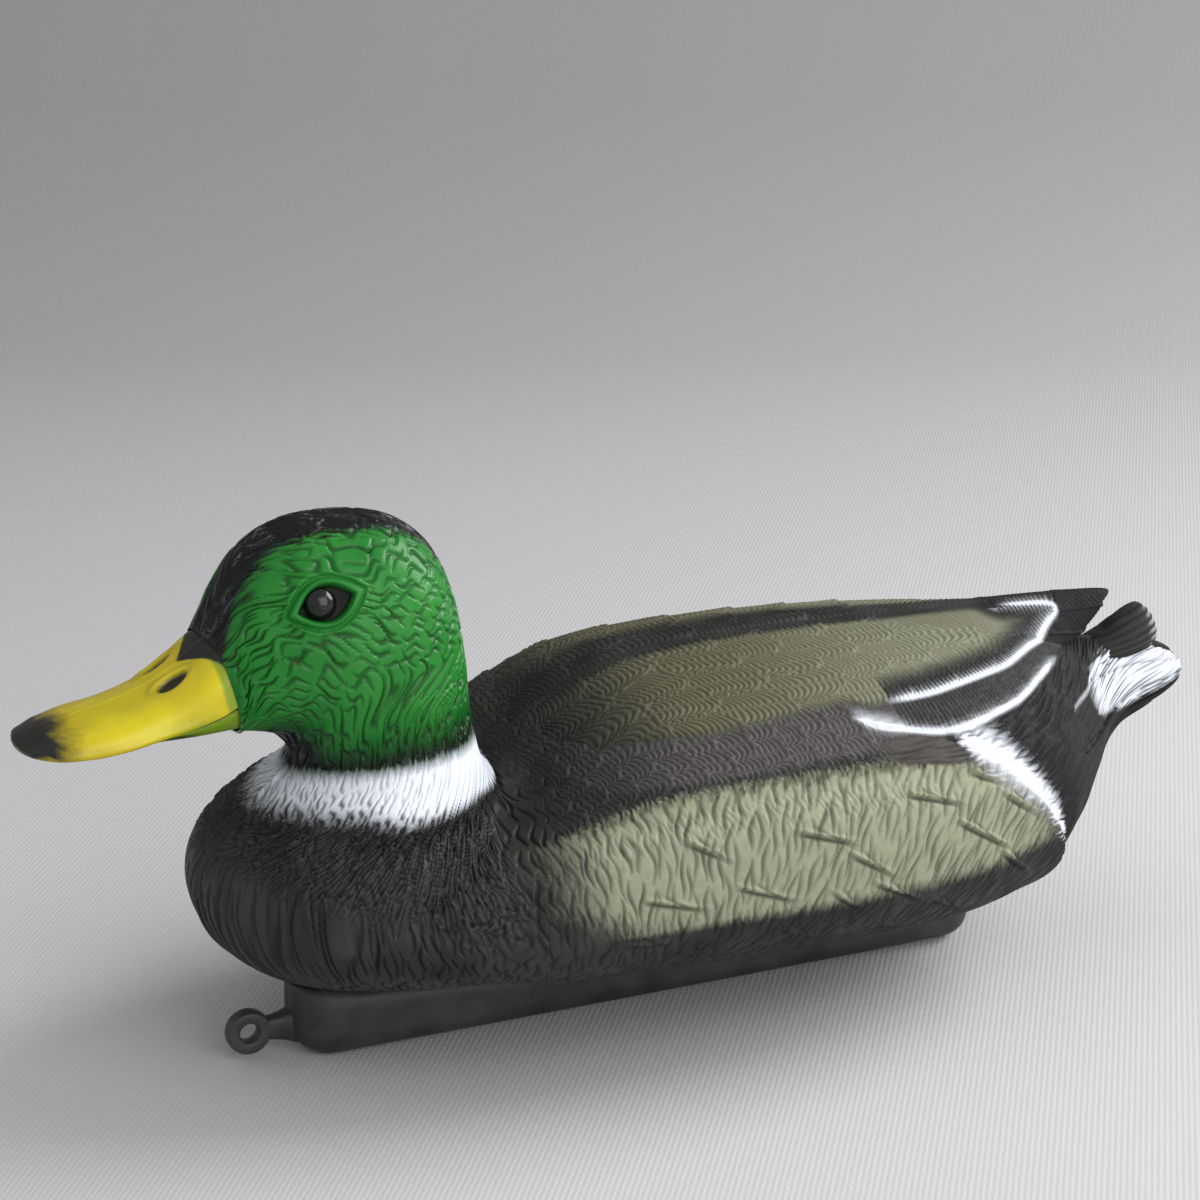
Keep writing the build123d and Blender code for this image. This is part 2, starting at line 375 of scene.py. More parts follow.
def half_piece(
    side: Side, word: str, points: Grid, layers: dict[str, list[Grid]], normals: Grid | None = None
) -> Piece:
    """Makes one side's piece from a left half, turned over for the right side.

    Args:
        side: which half.
        word: the piece's name after the side.
        points: the left half's points.
        layers: colour attributes by name, each of three grids.
        normals: the left half's shading normals, or None.

    Returns:
        The piece.
    """
    if side is Side.RIGHT:
        points = mirrored(points)
        normals = None if normals is None else mirrored(normals)
        layers = {name: [c[:, ::-1] for c in channels] for name, channels in layers.items()}
    piece = surface(f"{side.word}_{word}", points, normals)
    for name, channels in layers.items():
        mark(piece, name, channels)
    return piece


# ------------------------------------------------------------------------------ finishes
class Graph:
    """A material's node graph, with short calls for the nodes that the finishes share."""

    def __init__(self, name: str) -> None:
        """Starts a material with a Principled shader."""
        self.material = bpy.data.materials.new(name)
        self.material.use_nodes = True
        self.tree = self.material.node_tree
        self.shader = self.tree.nodes["Principled BSDF"]
        self.place = self.tree.nodes.new("ShaderNodeTexCoord").outputs["Object"]

    def link(self, output: Socket, target: Socket) -> None:
        """Joins two sockets."""
        self.tree.links.new(output, target)

    def attribute(self, name: str) -> list[Socket]:
        """The three channels of a colour attribute."""
        node = self.tree.nodes.new("ShaderNodeAttribute")
        node.attribute_name = name
        split = self.tree.nodes.new("ShaderNodeSeparateColor")
        self.link(node.outputs["Color"], split.inputs[0])
        return list(split.outputs)

    def feed(self, output: Socket, name: str) -> None:
        """Joins a socket to one of the shader's inputs."""
        self.link(output, self.shader.inputs[name])

    def noise(self, scale: float, detail: float) -> Socket:
        """Noise on object coordinates, in cells per metre."""
        node = self.tree.nodes.new("ShaderNodeTexNoise")
        node.inputs["Scale"].default_value = scale
        node.inputs["Detail"].default_value = detail
        self.link(self.place, node.inputs["Vector"])
        return node.outputs["Fac"]

    def shift(self, value: Socket, low: float, high: float, to_low: float, to_high: float) -> Socket:
        """Maps a value from one range to another, clamped."""
        node = self.tree.nodes.new("ShaderNodeMapRange")
        self.link(value, node.inputs["Value"])
        for key, number in (("From Min", low), ("From Max", high), ("To Min", to_low), ("To Max", to_high)):
            node.inputs[key].default_value = number
        return node.outputs[0]

    def math(self, kind: str, a: Socket | float, b: Socket | float) -> Socket:
        """A maths node on two sockets or numbers."""
        node = self.tree.nodes.new("ShaderNodeMath")
        node.operation = kind
        for socket, value in zip(node.inputs, (a, b)):
            if isinstance(value, (int, float)):
                socket.default_value = value
            else:
                self.link(value, socket)
        return node.outputs[0]

    def mix(self, amount: Socket | float, a: Socket | tuple, b: Socket | tuple) -> Socket:
        """Mixes two colours, each a socket or an (r, g, b)."""
        node = self.tree.nodes.new("ShaderNodeMix")
        node.data_type = "RGBA"
        for socket, value in ((node.inputs["Factor"], amount), (node.inputs[6], a), (node.inputs[7], b)):
            if isinstance(value, (int, float)):
                socket.default_value = value
            elif isinstance(value, tuple):
                socket.default_value = (*value, 1.0)
            else:
                self.link(value, socket)
        return node.outputs[2]

    def turned(self, angle: float) -> Socket:
        """Object coordinates turned about Z by an angle in radians."""
        node = self.tree.nodes.new("ShaderNodeMapping")
        node.inputs["Rotation"].default_value = (0, 0, angle)
        self.link(self.place, node.inputs["Vector"])
        return node.outputs[0]

    def bump(self, height: Socket, strength: float, distance: float) -> None:
        """Puts a bump of the given height, in metres, on the shader's normal."""
        node = self.tree.nodes.new("ShaderNodeBump")
        node.inputs["Strength"].default_value = strength
        node.inputs["Distance"].default_value = distance
        self.link(height, node.inputs["Height"])
        self.link(node.outputs[0], self.shader.inputs["Normal"])


def paint(red: int, green: int, blue: int) -> tuple[float, ...]:
    """A paint colour given as it looks, 0 to 255 a channel, turned into linear light."""
    shares = (red / 255, green / 255, blue / 255)
    return tuple(v / 12.92 if v <= 0.04045 else ((v + 0.055) / 1.055) ** 2.4 for v in shares)


@dataclass(frozen=True)
class FeatherPaint:
    """Sprayed feather paint on moulded plastic, mixed from the skin's paint masks."""

    charcoal: tuple = paint(38, 37, 35)
    charcoal_light: tuple = paint(58, 56, 53)
    olive: tuple = paint(150, 151, 127)
    olive_deep: tuple = paint(104, 102, 78)
    mauve: tuple = paint(84, 80, 78)
    brown: tuple = paint(64, 58, 55)
    green: tuple = paint(20, 108, 34)
    green_light: tuple = paint(46, 130, 48)
    white: tuple = paint(224, 228, 236)
    black: tuple = paint(12, 13, 12)
    # near black for the painted shade in the grooves
    groove_shade: tuple = (0.006, 0.006, 0.005)

    def material(self) -> Material:
        """Base charcoal, then olive, mauve, brown, green, black and white by mask, then painted shade in the
        grooves.
        """
        g = Graph("feather_paint")
        green, white, black = g.attribute("paint_a")
        olive, mauve, brown = g.attribute("paint_b")
        groove, deep, gloss = g.attribute("relief")
        patches = g.noise(55, 4)
        speckle = g.noise(420, 3)
        mist = g.noise(1400, 2)
        colour = g.mix(g.shift(patches, 0.35, 0.65, 0, 1), self.charcoal, self.charcoal_light)
        olive_coat = g.mix(deep, self.olive, self.olive_deep)
        olive_coat = g.mix(g.shift(speckle, 0.35, 0.7, 0, 0.22), olive_coat, self.olive_deep)
        colour = g.mix(self.feathered(g, olive, mist), colour, olive_coat)
        colour = g.mix(self.feathered(g, mauve, mist), colour, self.mauve)
        colour = g.mix(self.feathered(g, brown, mist), colour, self.brown)
        green_coat = g.mix(g.shift(patches, 0.3, 0.7, 0, 1), self.green, self.green_light)
        colour = g.mix(green, colour, green_coat)
        colour = g.mix(self.feathered(g, black, mist), colour, self.black)
        colour = g.mix(self.feathered(g, white, mist), colour, self.white)
        # painted shade: the groove mask darkens the paint towards near black, less on white paint
        groove_shade = g.mix(0.85, colour, self.groove_shade)
        kept = g.math("MULTIPLY", groove, g.shift(white, 0, 1, 0.9, 0.3))
        colour = g.mix(kept, colour, groove_shade)
        g.feed(colour, "Base Color")
        rough = g.shift(speckle, 0.3, 0.7, 0.66, 0.82)
        rough = g.math("SUBTRACT", rough, g.math("MULTIPLY", gloss, 0.46))
        g.feed(rough, "Roughness")
        g.shader.inputs["Specular IOR Level"].default_value = 0.22
        g.bump(mist, 0.25, 0.00025)
        return g.material

    @staticmethod
    def feathered(g: Graph, mask: Socket, mist: Socket) -> Socket:
        """A mask whose soft edge breaks into spray: the mist is added and the sum steepened."""
        return g.shift(g.math("ADD", mask, g.shift(mist, 0, 1, -0.14, 0.14)), 0.06, 0.94, 0, 1)


@dataclass(frozen=True)
class BillPaint:
    """Glossy bill enamel: yellow, greener low down, with a black tip and nostril."""

    yellow: tuple = paint(220, 202, 2)
    ochre: tuple = paint(176, 152, 10)
    lime: tuple = paint(120, 150, 30)
    black: tuple = paint(17, 18, 12)

    def material(self) -> Material:
        """Yellow with worn ochre patches, then lime and black by mask."""
        g = Graph("bill_enamel")
        lime, black, worn = g.attribute("paint_a")
        patches = g.noise(90, 4)
        mist = g.noise(1100, 3)
        colour = g.mix(g.shift(patches, 0.35, 0.7, 0, 0.4), self.yellow, self.ochre)
        colour = g.mix(g.math("MULTIPLY", worn, 0.5), colour, self.ochre)
        colour = g.mix(FeatherPaint.feathered(g, lime, mist), colour, self.lime)
        colour = g.mix(FeatherPaint.feathered(g, black, mist), colour, self.black)
        g.feed(colour, "Base Color")
        g.feed(g.shift(patches, 0.3, 0.7, 0.30, 0.42), "Roughness")
        g.bump(g.noise(700, 3), 0.2, 0.0003)
        return g.material


@dataclass(frozen=True)
class MouldedPlastic:
    """Bare moulded plastic with a fine grain and slight wear."""

    name: str
    colour: tuple
    worn: tuple
    roughness: float
    grain: float = 900.0
    metallic: float = 0.0

    def material(self) -> Material:
        """The colour, mixed with the worn one in patches, over a fine grain."""
        g = Graph(self.name)
        patches = g.noise(70, 5)
        colour = g.mix(g.shift(patches, 0.4, 0.75, 0, 1), self.colour, self.worn)
        g.feed(colour, "Base Color")
        g.feed(g.shift(patches, 0.3, 0.7, self.roughness - 0.06, self.roughness + 0.08), "Roughness")
        g.shader.inputs["Metallic"].default_value = self.metallic
        g.bump(g.noise(self.grain, 4), 0.3, 0.0003)
        return g.material


KEEL_PLASTIC = MouldedPlastic("keel_charcoal", paint(38, 39, 38), paint(62, 64, 64), 0.48)
PEG_PLASTIC = MouldedPlastic("peg_black", paint(30, 30, 32), paint(44, 44, 46), 0.40)
EYE_BLACK = MouldedPlastic("eye_gloss_black", paint(9, 9, 10), paint(15, 14, 15), 0.14, 300.0)
NYLON = MouldedPlastic("retainer_nylon", paint(214, 211, 200), paint(190, 186, 174), 0.45)
CAST_IRON = MouldedPlastic("ballast_cast_iron", paint(74, 70, 66), paint(104, 70, 50), 0.60, 500.0, 0.85)


# ------------------------------------------------------------------------------ the duck's skin
@dataclass
class EyeSocket:
    """Almond eye opening with a raised double lid, on the side of the head."""

    x: float = -107.7
    z: float = 142.6
    tilt: float = math.radians(14.0)
    opening: tuple = (8.3, 4.9)
    lids: tuple = (11.4, 6.5)

    def almond(self, points: Grid, size: tuple) -> Grid:
        """Almond field: (along / half length)^2 + |across| / half height, 1 on its rim."""
        dx, dz = points[..., 0] - self.x, points[..., 2] - self.z
        along = dx * math.cos(self.tilt) + dz * math.sin(self.tilt)
        across = dz * math.cos(self.tilt) - dx * math.sin(self.tilt)
        return (along / size[0]) ** 2 + np.abs(across) / size[1]

    def relief(self, points: Grid) -> tuple[Grid, Grid, Grid]:
        """Raises the lids, cuts a crease round them and sinks the opening.

        Args:
            points: skin points.

        Returns:
            Height, the opening's mask and how far the strokes may show, 0 on the lids.
        """
        inner, outer = self.almond(points, self.opening), self.almond(points, self.lids)
        pit = smooth(1.06, 0.86, inner)
        lid = smooth(0.98, 1.16, inner) * smooth(1.0, 0.82, outer)
        height = 0.8 * lid - 0.9 * bell(outer - 1.06, 0.075) + 0.3 * bell(outer - 1.26, 0.10) - 2.2 * pit
        return height, pit, smooth(1.05, 1.35, outer)

    def bow(self, points: Grid) -> Grid:
        """Pushes the strokes' rows apart round the eye, up above it and down below it."""
        dx, dz = points[..., 0] - self.x, points[..., 2] - self.z
        return 5.0 * np.tanh(dz / 4) * bell(np.hypot(dx * 0.8, dz), 15) * (points[..., 2] > 120)


@dataclass
class DuckSkin:
    """The duck's feathered outer skin from tail to bill base, one half at a time.

    Each row of the tables is a half ring: lower line x and z, upper line x and z, half width,
    widest share, lower exponent and upper exponent.
    """

    spacing: float = 0.55
    ring_points: int = 441
    tail: tuple = (
        (187.6, 77.8, 188.6, 80.2, 4.0, 0.50, 2.0, 2.0),
        (184.5, 73.5, 187.5, 83.0, 11.0, 0.50, 2.0, 1.8),
        (175.0, 67.5, 180.5, 86.5, 15.5, 0.48, 2.0, 1.6),
        (161.0, 61.5, 167.5, 89.5, 18.5, 0.46, 2.0, 1.5),
        (148.5, 53.0, 156.0, 91.0, 24.5, 0.46, 2.0, 1.6),
        (137.5, 41.0, 145.0, 94.5, 34.5, 0.46, 2.0, 1.7),
        (126.0, 29.0, 130.0, 100.0, 46.5, 0.45, 2.1, 1.9),
        (109.0, 20.5, 110.0, 105.0, 59.0, 0.43, 2.0, 2.0),
    )
    trunk: tuple = (
        (78.0, 15.5, 75.0, 108.3, 70.0, 0.42, 1.85, 2.1),
        (35.0, 14.8, 30.0, 109.3, 75.0, 0.41, 1.7, 2.2),
        (-15.0, 16.0, -10.0, 106.5, 75.0, 0.41, 1.6, 2.3),
        (-57.0, 19.0, -35.0, 96.5, 72.5, 0.42, 1.6, 2.3),
        (-96.0, 23.0, -47.0, 88.0, 67.0, 0.44, 1.64, 2.3),
    )
    breast: tuple = (
        (-121.0, 28.5, -52.0, 84.5, 61.0, 0.46, 1.8, 2.3),
        (-134.5, 38.0, -54.0, 84.0, 56.5, 0.48, 2.0, 2.2),
        (-140.5, 50.0, -54.5, 84.3, 52.0, 0.50, 2.1, 2.2),
        (-139.5, 62.0, -55.0, 84.8, 46.5, 0.50, 2.1, 2.1),
        (-131.0, 72.5, -55.5, 85.6, 40.0, 0.50, 2.1, 2.1),
        (-121.0, 81.5, -56.0, 87.0, 33.5, 0.50, 2.05, 2.05),
        (-113.5, 88.0, -56.5, 90.0, 28.5, 0.50, 2.0, 2.0),
        (-111.5, 93.5, -57.5, 96.0, 26.0, 0.50, 2.0, 2.0),
        (-114.5, 98.0, -58.5, 104.0, 26.0, 0.50, 2.0, 2.0),
    )
    head: tuple = (
        (-118.0, 100.5, -60.0, 118.0, 27.5, 0.50, 2.1, 2.1),
        (-120.5, 101.5, -63.0, 135.0, 28.4, 0.50, 2.15, 2.1),
        (-122.5, 102.0, -69.5, 149.5, 28.2, 0.49, 2.2, 2.15),
        (-124.5, 102.3, -82.0, 159.0, 27.2, 0.47, 2.2, 2.2),
        (-126.0, 102.5, -98.0, 161.6, 26.0, 0.46, 2.2, 2.2),
        (-127.2, 102.6, -112.0, 160.0, 24.5, 0.45, 2.2, 2.2),
        (-128.2, 102.6, -122.6, 153.8, 23.2, 0.45, 2.2, 2.2),
        (-129.0, 102.6, -129.4, 144.6, 21.8, 0.45, 2.2, 2.3),
        (-129.1, 102.5, -132.4, 137.0, 21.2, 0.46, 2.2, 2.8),
        (-129.3, 102.5, -134.6, 131.8, 20.4, 0.47, 2.2, 3.4),
        (-129.8, 103.2, -135.8, 129.6, 19.2, 0.47, 2.2, 3.8),
    )
    head_start: float = 12.0  # station from which the eye and the head's strokes may show
    brow_start: float = 13.0  # station from which the brow line is counted
    # each skin piece: its name, first and last place in the tables, and the step between ring points
    parting: tuple = (
        ("rump", 0.0, 7.3, 1),
        ("flank", 7.3, 8.9, 1),
        ("side", 8.9, 10.3, 1),
        ("breast", 10.3, 14.0, 1),
        ("neck", 14.0, 22.0, 2),
        ("head", 22.0, 33.0, 2),
    )
    # outlines seen from above: x, and the distance from the centre plane
    wing_outline: tuple = (
        (-44, -39, -32, -20, -7, 9, 26, 43, 49, 60, 75, 93, 107, 124, 136, 140, 143),
        (0, 25, 38, 45.5, 49.5, 50, 48, 46.5, 48, 46.5, 44, 38, 31.5, 19, 9, 5, 0),
    )
    layer_2_outline: tuple = (
        (38, 42, 49, 59, 69, 80, 93, 103, 112, 124, 134, 146),
        (44, 51.5, 54, 55.2, 55.7, 53.8, 48.7, 44.2, 37.7, 28, 18, 4),
    )
    white_line_1: tuple = (
        (56.0, 47.0), (64.0, 46.0), (75.3, 43.8), (92.7, 38.0), (107.2, 31.6), (124.3, 18.8),
        (134.0, 11.0), (138.8, 7.6), (139.6, 5.6), (136.6, 4.6), (128.2, 4.6), (118.0, 4.8),
    )
    white_line_2: tuple = (
        (41.0, 51.0), (49.4, 54.0), (58.8, 55.2), (68.6, 55.7), (79.9, 53.8),
        (93.4, 48.7), (103.1, 44.2), (112.5, 37.7), (124.1, 27.9), (134.0, 18.0),
    )
    covert_edge: tuple = (
        (166.0, 3.0), (160.0, 8.5), (153.0, 12.5), (146.0, 19.0), (138.0, 28.6), (126.3, 39.3),
    )
    # the white crescent in front of the rump: x and z, then its half width by the length walked
    crescent: tuple = (
        (77.5, 84.5), (82.2, 82.5), (88.4, 77.9), (94.7, 71.8),
        (100.6, 65.7), (106.5, 58.0), (112.5, 48.0), (115.0, 40.0),
    )
    crescent_width: tuple = ((0, 5, 12, 26, 38, 48), (2.5, 4.6, 5.0, 4.0, 2.8, 1.0))
    # borders along the body: x, and the share of the ring's turn
    fringe_line: tuple = (
        (-51, -40, -27, -13, 3, 35, 52, 64, 80, 95),
        (0.70, 0.702, 0.70, 0.688, 0.684, 0.679, 0.676, 0.668, 0.655, 0.64),
    )
    lower_line: tuple = (
        (-55, -37, -19, 18, 59, 82, 100), (0.53, 0.49, 0.475, 0.465, 0.46, 0.46, 0.475),
    )
    # borders round the neck: the share of the ring's turn, and the station
    ring_line: tuple = (
        (0, 0.2, 0.39, 0.52, 0.62, 0.76, 0.99), (9.83, 9.95, 9.83, 9.17, 8.92, 8.54, 5.8),
    )
    neck_line: tuple = ((0, 0.25, 0.5, 0.8, 1), (11.1, 11.55, 11.75, 11.75, 11.6))
    # lower edge of the black crown: stations past brow_start, and the share of the ring's turn
    brow_line: tuple = (
        (0, 1.8, 3.2, 4.7, 5.4, 6.5, 7.9, 9.2, 11),
        (0.955, 0.925, 0.895, 0.85, 0.84, 0.85, 0.835, 0.80, 0.73),
    )
    # lower and upper edge of the tail's white area: x and z
    fan_low: tuple = ((138, 143, 158, 172, 186), (83, 76, 74.5, 76.5, 79))
    fan_high: tuple = ((138, 144, 157, 173, 186), (83, 86, 87, 88, 85))
    # dark stripe along the back: its half width on the left, and on the right by x
    near_stripe: float = 7.5
    far_stripe: tuple = ((-40, 50, 95), (24, 20, 9))
    # flank quills: x and z of the foot, length, and fall per unit of x
    quill_bars: tuple = (
        (-36, 62, 20, 0.25), (-41, 50, 15, 0.1), (-22, 76, 14, 0.5), (-8, 62, 20, 0.35),
        (-24, 44, 18, 0.3), (12, 74, 20, 0.3), (28, 66, 16, 0.6), (8, 46, 18, 0.45),
        (36, 56, 20, 0.5), (50, 78, 20, 0.3), (58, 46, 16, 0.55), (66, 68, 20, 0.6),
        (82, 56, 16, 0.8), (84, 72, 12, 0.7), (42, 40, 16, 0.4), (-2, 33, 16, 0.2),
        (22, 56, 12, 0.7), (74, 80, 12, 0.5),
    )
    tail_feathers: int = 6

    def __post_init__(self) -> None:
        """Works out the bare surface, its relief and its paint masks."""
        stations, place = through(self.tail + self.trunk + self.breast + self.head, self.spacing)
        self.bare, self.turn = half_rings(stations, self.ring_points)
        self.station = np.broadcast_to(place[:, None], self.turn.shape) - len(self.tail)
        self.x, self.out, self.z = self.bare[..., 0], -self.bare[..., 1], self.bare[..., 2]
        self.along = arc_length(self.bare, 0)
        around = arc_length(self.bare, 1)
        self.girth = around[:, -1:]
        self.around = around - around[:, self.ring_points // 2][:, None]
        self.from_top = self.girth - around
        self.from_seam = np.minimum(around, self.from_top)
        self.eye = EyeSocket()
        self.borders()
        self.areas()
        self.paint()
        self.skin = self.raised()

    def borders(self) -> None:
        """Offsets in millimetres from the borders of the feather groups, positive inside."""
        x, turn, out = self.x, self.turn, self.out
        upper = turn > BACK_SHARE
        self.comb = strokes(self.around, self.along, 1.9, 9, 11, 0.7)
        self.streak = strokes(self.around + 0.1 * self.along, self.along, 1.5, 26, 93, 0.4)
        self.comb_x = strokes(x + 0.2 * self.z, self.around, 1.8, 8, 15, 0.7)
        above_fringe = (turn - np.interp(x, *self.fringe_line)) * self.girth
        self.above_fringe = above_fringe + 3.0 * (self.comb_x - 0.3) * smooth(70, 50, x)
        self.above_lower = (turn - np.interp(x, *self.lower_line)) * self.girth
        self.in_wing = np.where(upper, np.interp(x, *self.wing_outline) - out, -9.0)
        in_layer_2 = np.interp(x, *self.layer_2_outline) - out
        self.in_layer_2 = np.where((x > 38) & upper, in_layer_2, -9.0)
        off_line_1, self.walk_1 = near_line(x, out, self.white_line_1)
        off_line_2, _ = near_line(x, out, self.white_line_2)
        self.off_line_1 = np.where(upper, off_line_1, 99.0)
        self.off_line_2 = np.where(upper, off_line_2, 99.0)
        past_crescent, self.walk_crescent = near_line(x, self.z, self.crescent)
        self.past_crescent = np.where(x < 70, -30.0, past_crescent)
        self.off_covert, _ = near_line(x, out, self.covert_edge)
        self.past_ring_low = self.station - np.interp(turn, *self.ring_line)
        self.past_neck = self.station - np.interp(turn, *self.neck_line)
        self.trunk_only = smooth(6.5, 5.0, self.station)

    def areas(self) -> None:
        """Areas of relief, each from 0 to 1, that share out the whole skin."""
        x = self.x
        self.is_head = smooth(-0.20, 0.15, self.past_neck)
        self.is_ring = smooth(-0.5, 0.2, self.past_ring_low) * (1 - self.is_head)
        self.wing = smooth(-0.8, 0.8, self.in_wing) * self.trunk_only
        layer_2 = smooth(-0.6, 0.6, self.in_layer_2) * (1 - self.wing) * (x < 146)
        self.layer_2 = layer_2 * self.trunk_only
        above = smooth(-0.8, 0.8, self.above_fringe) * (1 - self.wing) * (1 - self.layer_2) * self.trunk_only
        self.band = smooth(-58, -46, x) * above * smooth(54, 44, x)
        before_crescent = smooth(1.0, -1.0, self.past_crescent)
        self.long_feathers = smooth(44, 54, x) * above * before_crescent
        below = smooth(0.8, -0.8, self.above_fringe) * self.trunk_only
        self.flank = smooth(-66, -50, x) * below * before_crescent
        self.rump = (1 - before_crescent) * (1 - self.wing) * (1 - self.layer_2) * (x > 60)
        groups = (self.wing, self.layer_2, self.band, self.long_feathers, self.flank, self.rump)
        self.plain = np.clip(1 - (self.is_head + self.is_ring + sum(groups)), 0, 1)
        self.tail_fan = smooth(-1, 1, -self.off_covert) * smooth(118, 128, x) * self.rump

    def paint(self) -> None:
        """Paint masks, each from 0 to 1, with edges broken by the combed strokes."""
        brow = np.interp(self.station - self.brow_start, *self.brow_line)
        self.crown = smooth(-3.0, 3.0, (self.turn - brow) * self.girth + 6 * (self.comb - 0.35))
        self.from_rim = np.where(self.x < 56, 20.0, np.abs(self.off_line_1))
        self.paint_feathers()
        self.paint_white()
        self.paint_black()

    def paint_feathers(self) -> None:
        """Olive on flank and wing, mauve on the band, and brown on the long feathers."""
        x, ragged, ragged_x = self.x, 0.4 - self.comb, 0.4 - self.comb_x
        flank = smooth(-66, -34, x + 5 * ragged_x) * smooth(-3, 9, self.above_lower + 3.5 * ragged_x)
        flank = flank * smooth(3.0, -1.0, self.above_fringe) * smooth(0, -9, self.past_crescent - 3 * ragged)
        flank = flank * self.trunk_only
        wing = smooth(-44, 2, x) * smooth(-2, 3, self.in_wing)
        wing = wing * smooth(3, 12, self.from_rim + 1.5 * hatching(self.walk_1, 0.26))
        stripes = {Side.LEFT: self.near_stripe, Side.RIGHT: np.interp(x, *self.far_stripe)}
        self.olive = {}
        for side, wide in stripes.items():
            self.olive[side] = np.maximum(flank, wing * self.stripe(wide) * self.trunk_only)
        self.deep = smooth(-1, 1, self.in_wing) * (0.3 + 0.7 * smooth(90, 0, x))
        self.mauve = self.band * smooth(-56, -10, x + 4 * self.comb_x)
        self.mauve = self.mauve * smooth(0.0, 5.0, self.above_fringe + 0.6 * self.in_wing + 6)
        self.brown = np.maximum(self.long_feathers, 0.7 * self.layer_2 * smooth(80, 55, x))

    def paint_white(self) -> None:
        """White on the wing's two lines, the crescent, the neck ring and the tail, and painted highlights on
        the crown.
        """
        x, z, turn, comb = self.x, self.z, self.turn, self.comb
        ragged = 0.4 - comb
        off_1 = np.abs(self.off_line_1)
        fade_1 = smooth(52, 66, x) * smooth(117, 124, x + 100 * (self.out > 6))
        glow_1 = smooth(-1, 0.4, self.in_wing) * bell(off_1, 4.5) * (1 - 0.75 * hatching(self.walk_1, 0.26))
        line_1 = fade_1 * (bell(off_1, 0.85) + 0.5 * glow_1 * bell(off_1, 3.0))
        fade_2 = smooth(40, 48, x) * smooth(132, 120, x)
        glow_2 = smooth(-1.0, 0.5, self.in_layer_2) * bell(self.off_line_2, 2.2) * (1 - 0.6 * comb)
        line_2 = fade_2 * (bell(self.off_line_2, 0.75) + 0.3 * glow_2)
        soft = 0.40 * bell(self.in_layer_2 - 1, 3.0) * smooth(40, 46, x) * smooth(62, 50, x)
        wide = np.interp(self.walk_crescent, *self.crescent_width)
        crescent = bell(self.past_crescent - 1.0 + 3.0 * (comb - 0.3), wide) * smooth(40, 50, z) * (x > 68)
        ring = (1 - 0.45 * comb * smooth(0.45, 0.25, turn))
        ring = ring * smooth(-0.35, 0.75, self.past_ring_low + 0.55 * (0.35 - comb))
        ring = ring * smooth(0.45, -0.45, self.past_neck + 0.35 * (0.35 - comb) + 0.1)
        fan = smooth(-2, 2, z - np.interp(x, *self.fan_low) + 2 * ragged)
        fan = fan * smooth(2, -2, z - np.interp(x, *self.fan_high) - 3 * ragged)
        fan = fan * smooth(136, 148, x) * (self.out > 4) * (1 - 0.9 * self.streak * smooth(184, 150, x))
        edging = 0.5 * bell(self.off_covert, 0.5) * smooth(120, 130, x) * (self.out > 3) * (turn > BACK_SHARE)
        white = np.clip(line_1 + line_2 + soft + 1.15 * crescent + ring + 0.9 * fan + edging, 0, 1)
        # painted highlights: pale glints in broken strokes on the black crown
        crown_glints = strokes(self.around + 0.9, self.along, 1.5, 6, 91)
        crown_glints = crown_glints * smooth(0.0, 0.6, ripple(x / 7, self.along / 7, 92) + 0.2)
        self.white = np.clip(white + 0.22 * self.crown * crown_glints * self.is_head, 0, 1)

    def paint_black(self) -> None:
        """Black on crown and rump, on the neck just above the ring, and on the wing's rear; painted shade
        under the head and neck, and a painted shadow on the back behind the neck ring.
        """
        comb, turn = self.comb, self.turn
        # painted shade: the underside of the head and neck is darkened towards black
        throat_shade = 0.95 * smooth(0.40, 0.12, turn + 0.05 * comb) * smooth(20.5, 15.0, self.station)
        collar = 0.9 * smooth(2.3, 0.2, self.past_neck + 0.6 * comb)
        head = np.clip(np.maximum(self.crown, np.maximum(throat_shade, collar)) * self.is_head, 0, 1)
        shadow = 0.8 * bell(self.past_ring_low + 0.7, 0.7) * smooth(0.25, 0.5, turn)
        wing = 0.8 * (self.layer_2 + self.wing * smooth(12, 3, self.from_rim)) * smooth(50, 66, self.x)
        rump = 0.95 * self.rump * (1 - 0.2 * self.tail_fan)
        self.black = np.clip(head + shadow + wing + rump, 0, 1)

    def stripe(self, wide: float | Grid) -> Grid:
        """1 away from the dark stripe along the back, for the given half width."""
        return smooth(0.55 * wide, 1.25 * wide, self.from_top + 1.5 * self.comb_x)

    def head_strokes(self) -> Grid:
        """Strokes round the head, turned level beside the cheek and bowed apart round the eye."""
        x, z, along = self.x, self.z, self.along
        on_head = self.station > self.head_start
        level = 0.85 * smooth(106, 122, z) * smooth(-114, -94, x) * on_head
        rows = (1 - level) * self.around + level * 1.15 * (z - 124) + self.eye.bow(self.bare) * on_head
        beside_eye = on_head & (np.abs(x + 104) < 3) & (np.abs(z - 118) < 4)
        runs = along - np.median((along + x)[beside_eye])
        return strokes(rows, (1 - level) * runs - level * x, 2.6, 9, 21, 1.4)

    def breast_feathers(self) -> tuple[Grid, Grid]:
        """Scales mixed with loose strokes on the upper breast, and longer strokes below.

        Returns:
            Edge height from 0 to 1, and groove depth from 0 to 1.
        """
        x, around, along = self.x, self.around, self.along
        edge, scales = feather_rows(0.2 * around - along, around, 9, 10, 2.0, 81)
        upper = smooth(50, 60, self.z + 0.25 * x + 22) * smooth(-60, -75, x)
        loose = strokes(0.7 * around + 0.7 * along, 0.7 * along - 0.7 * around, 2.4, 8, 86, 1.8)
        round_front = np.where(x < -80, 62 * np.arctan2(x + 80, self.out), x + 80)
        lower = strokes(round_front + 0.15 * self.z, around, 2.6, 12, 85, 1.0)
        return edge * upper, upper * np.clip(0.55 * scales + 0.75 * loose, 0, 1) + (1 - upper) * lower

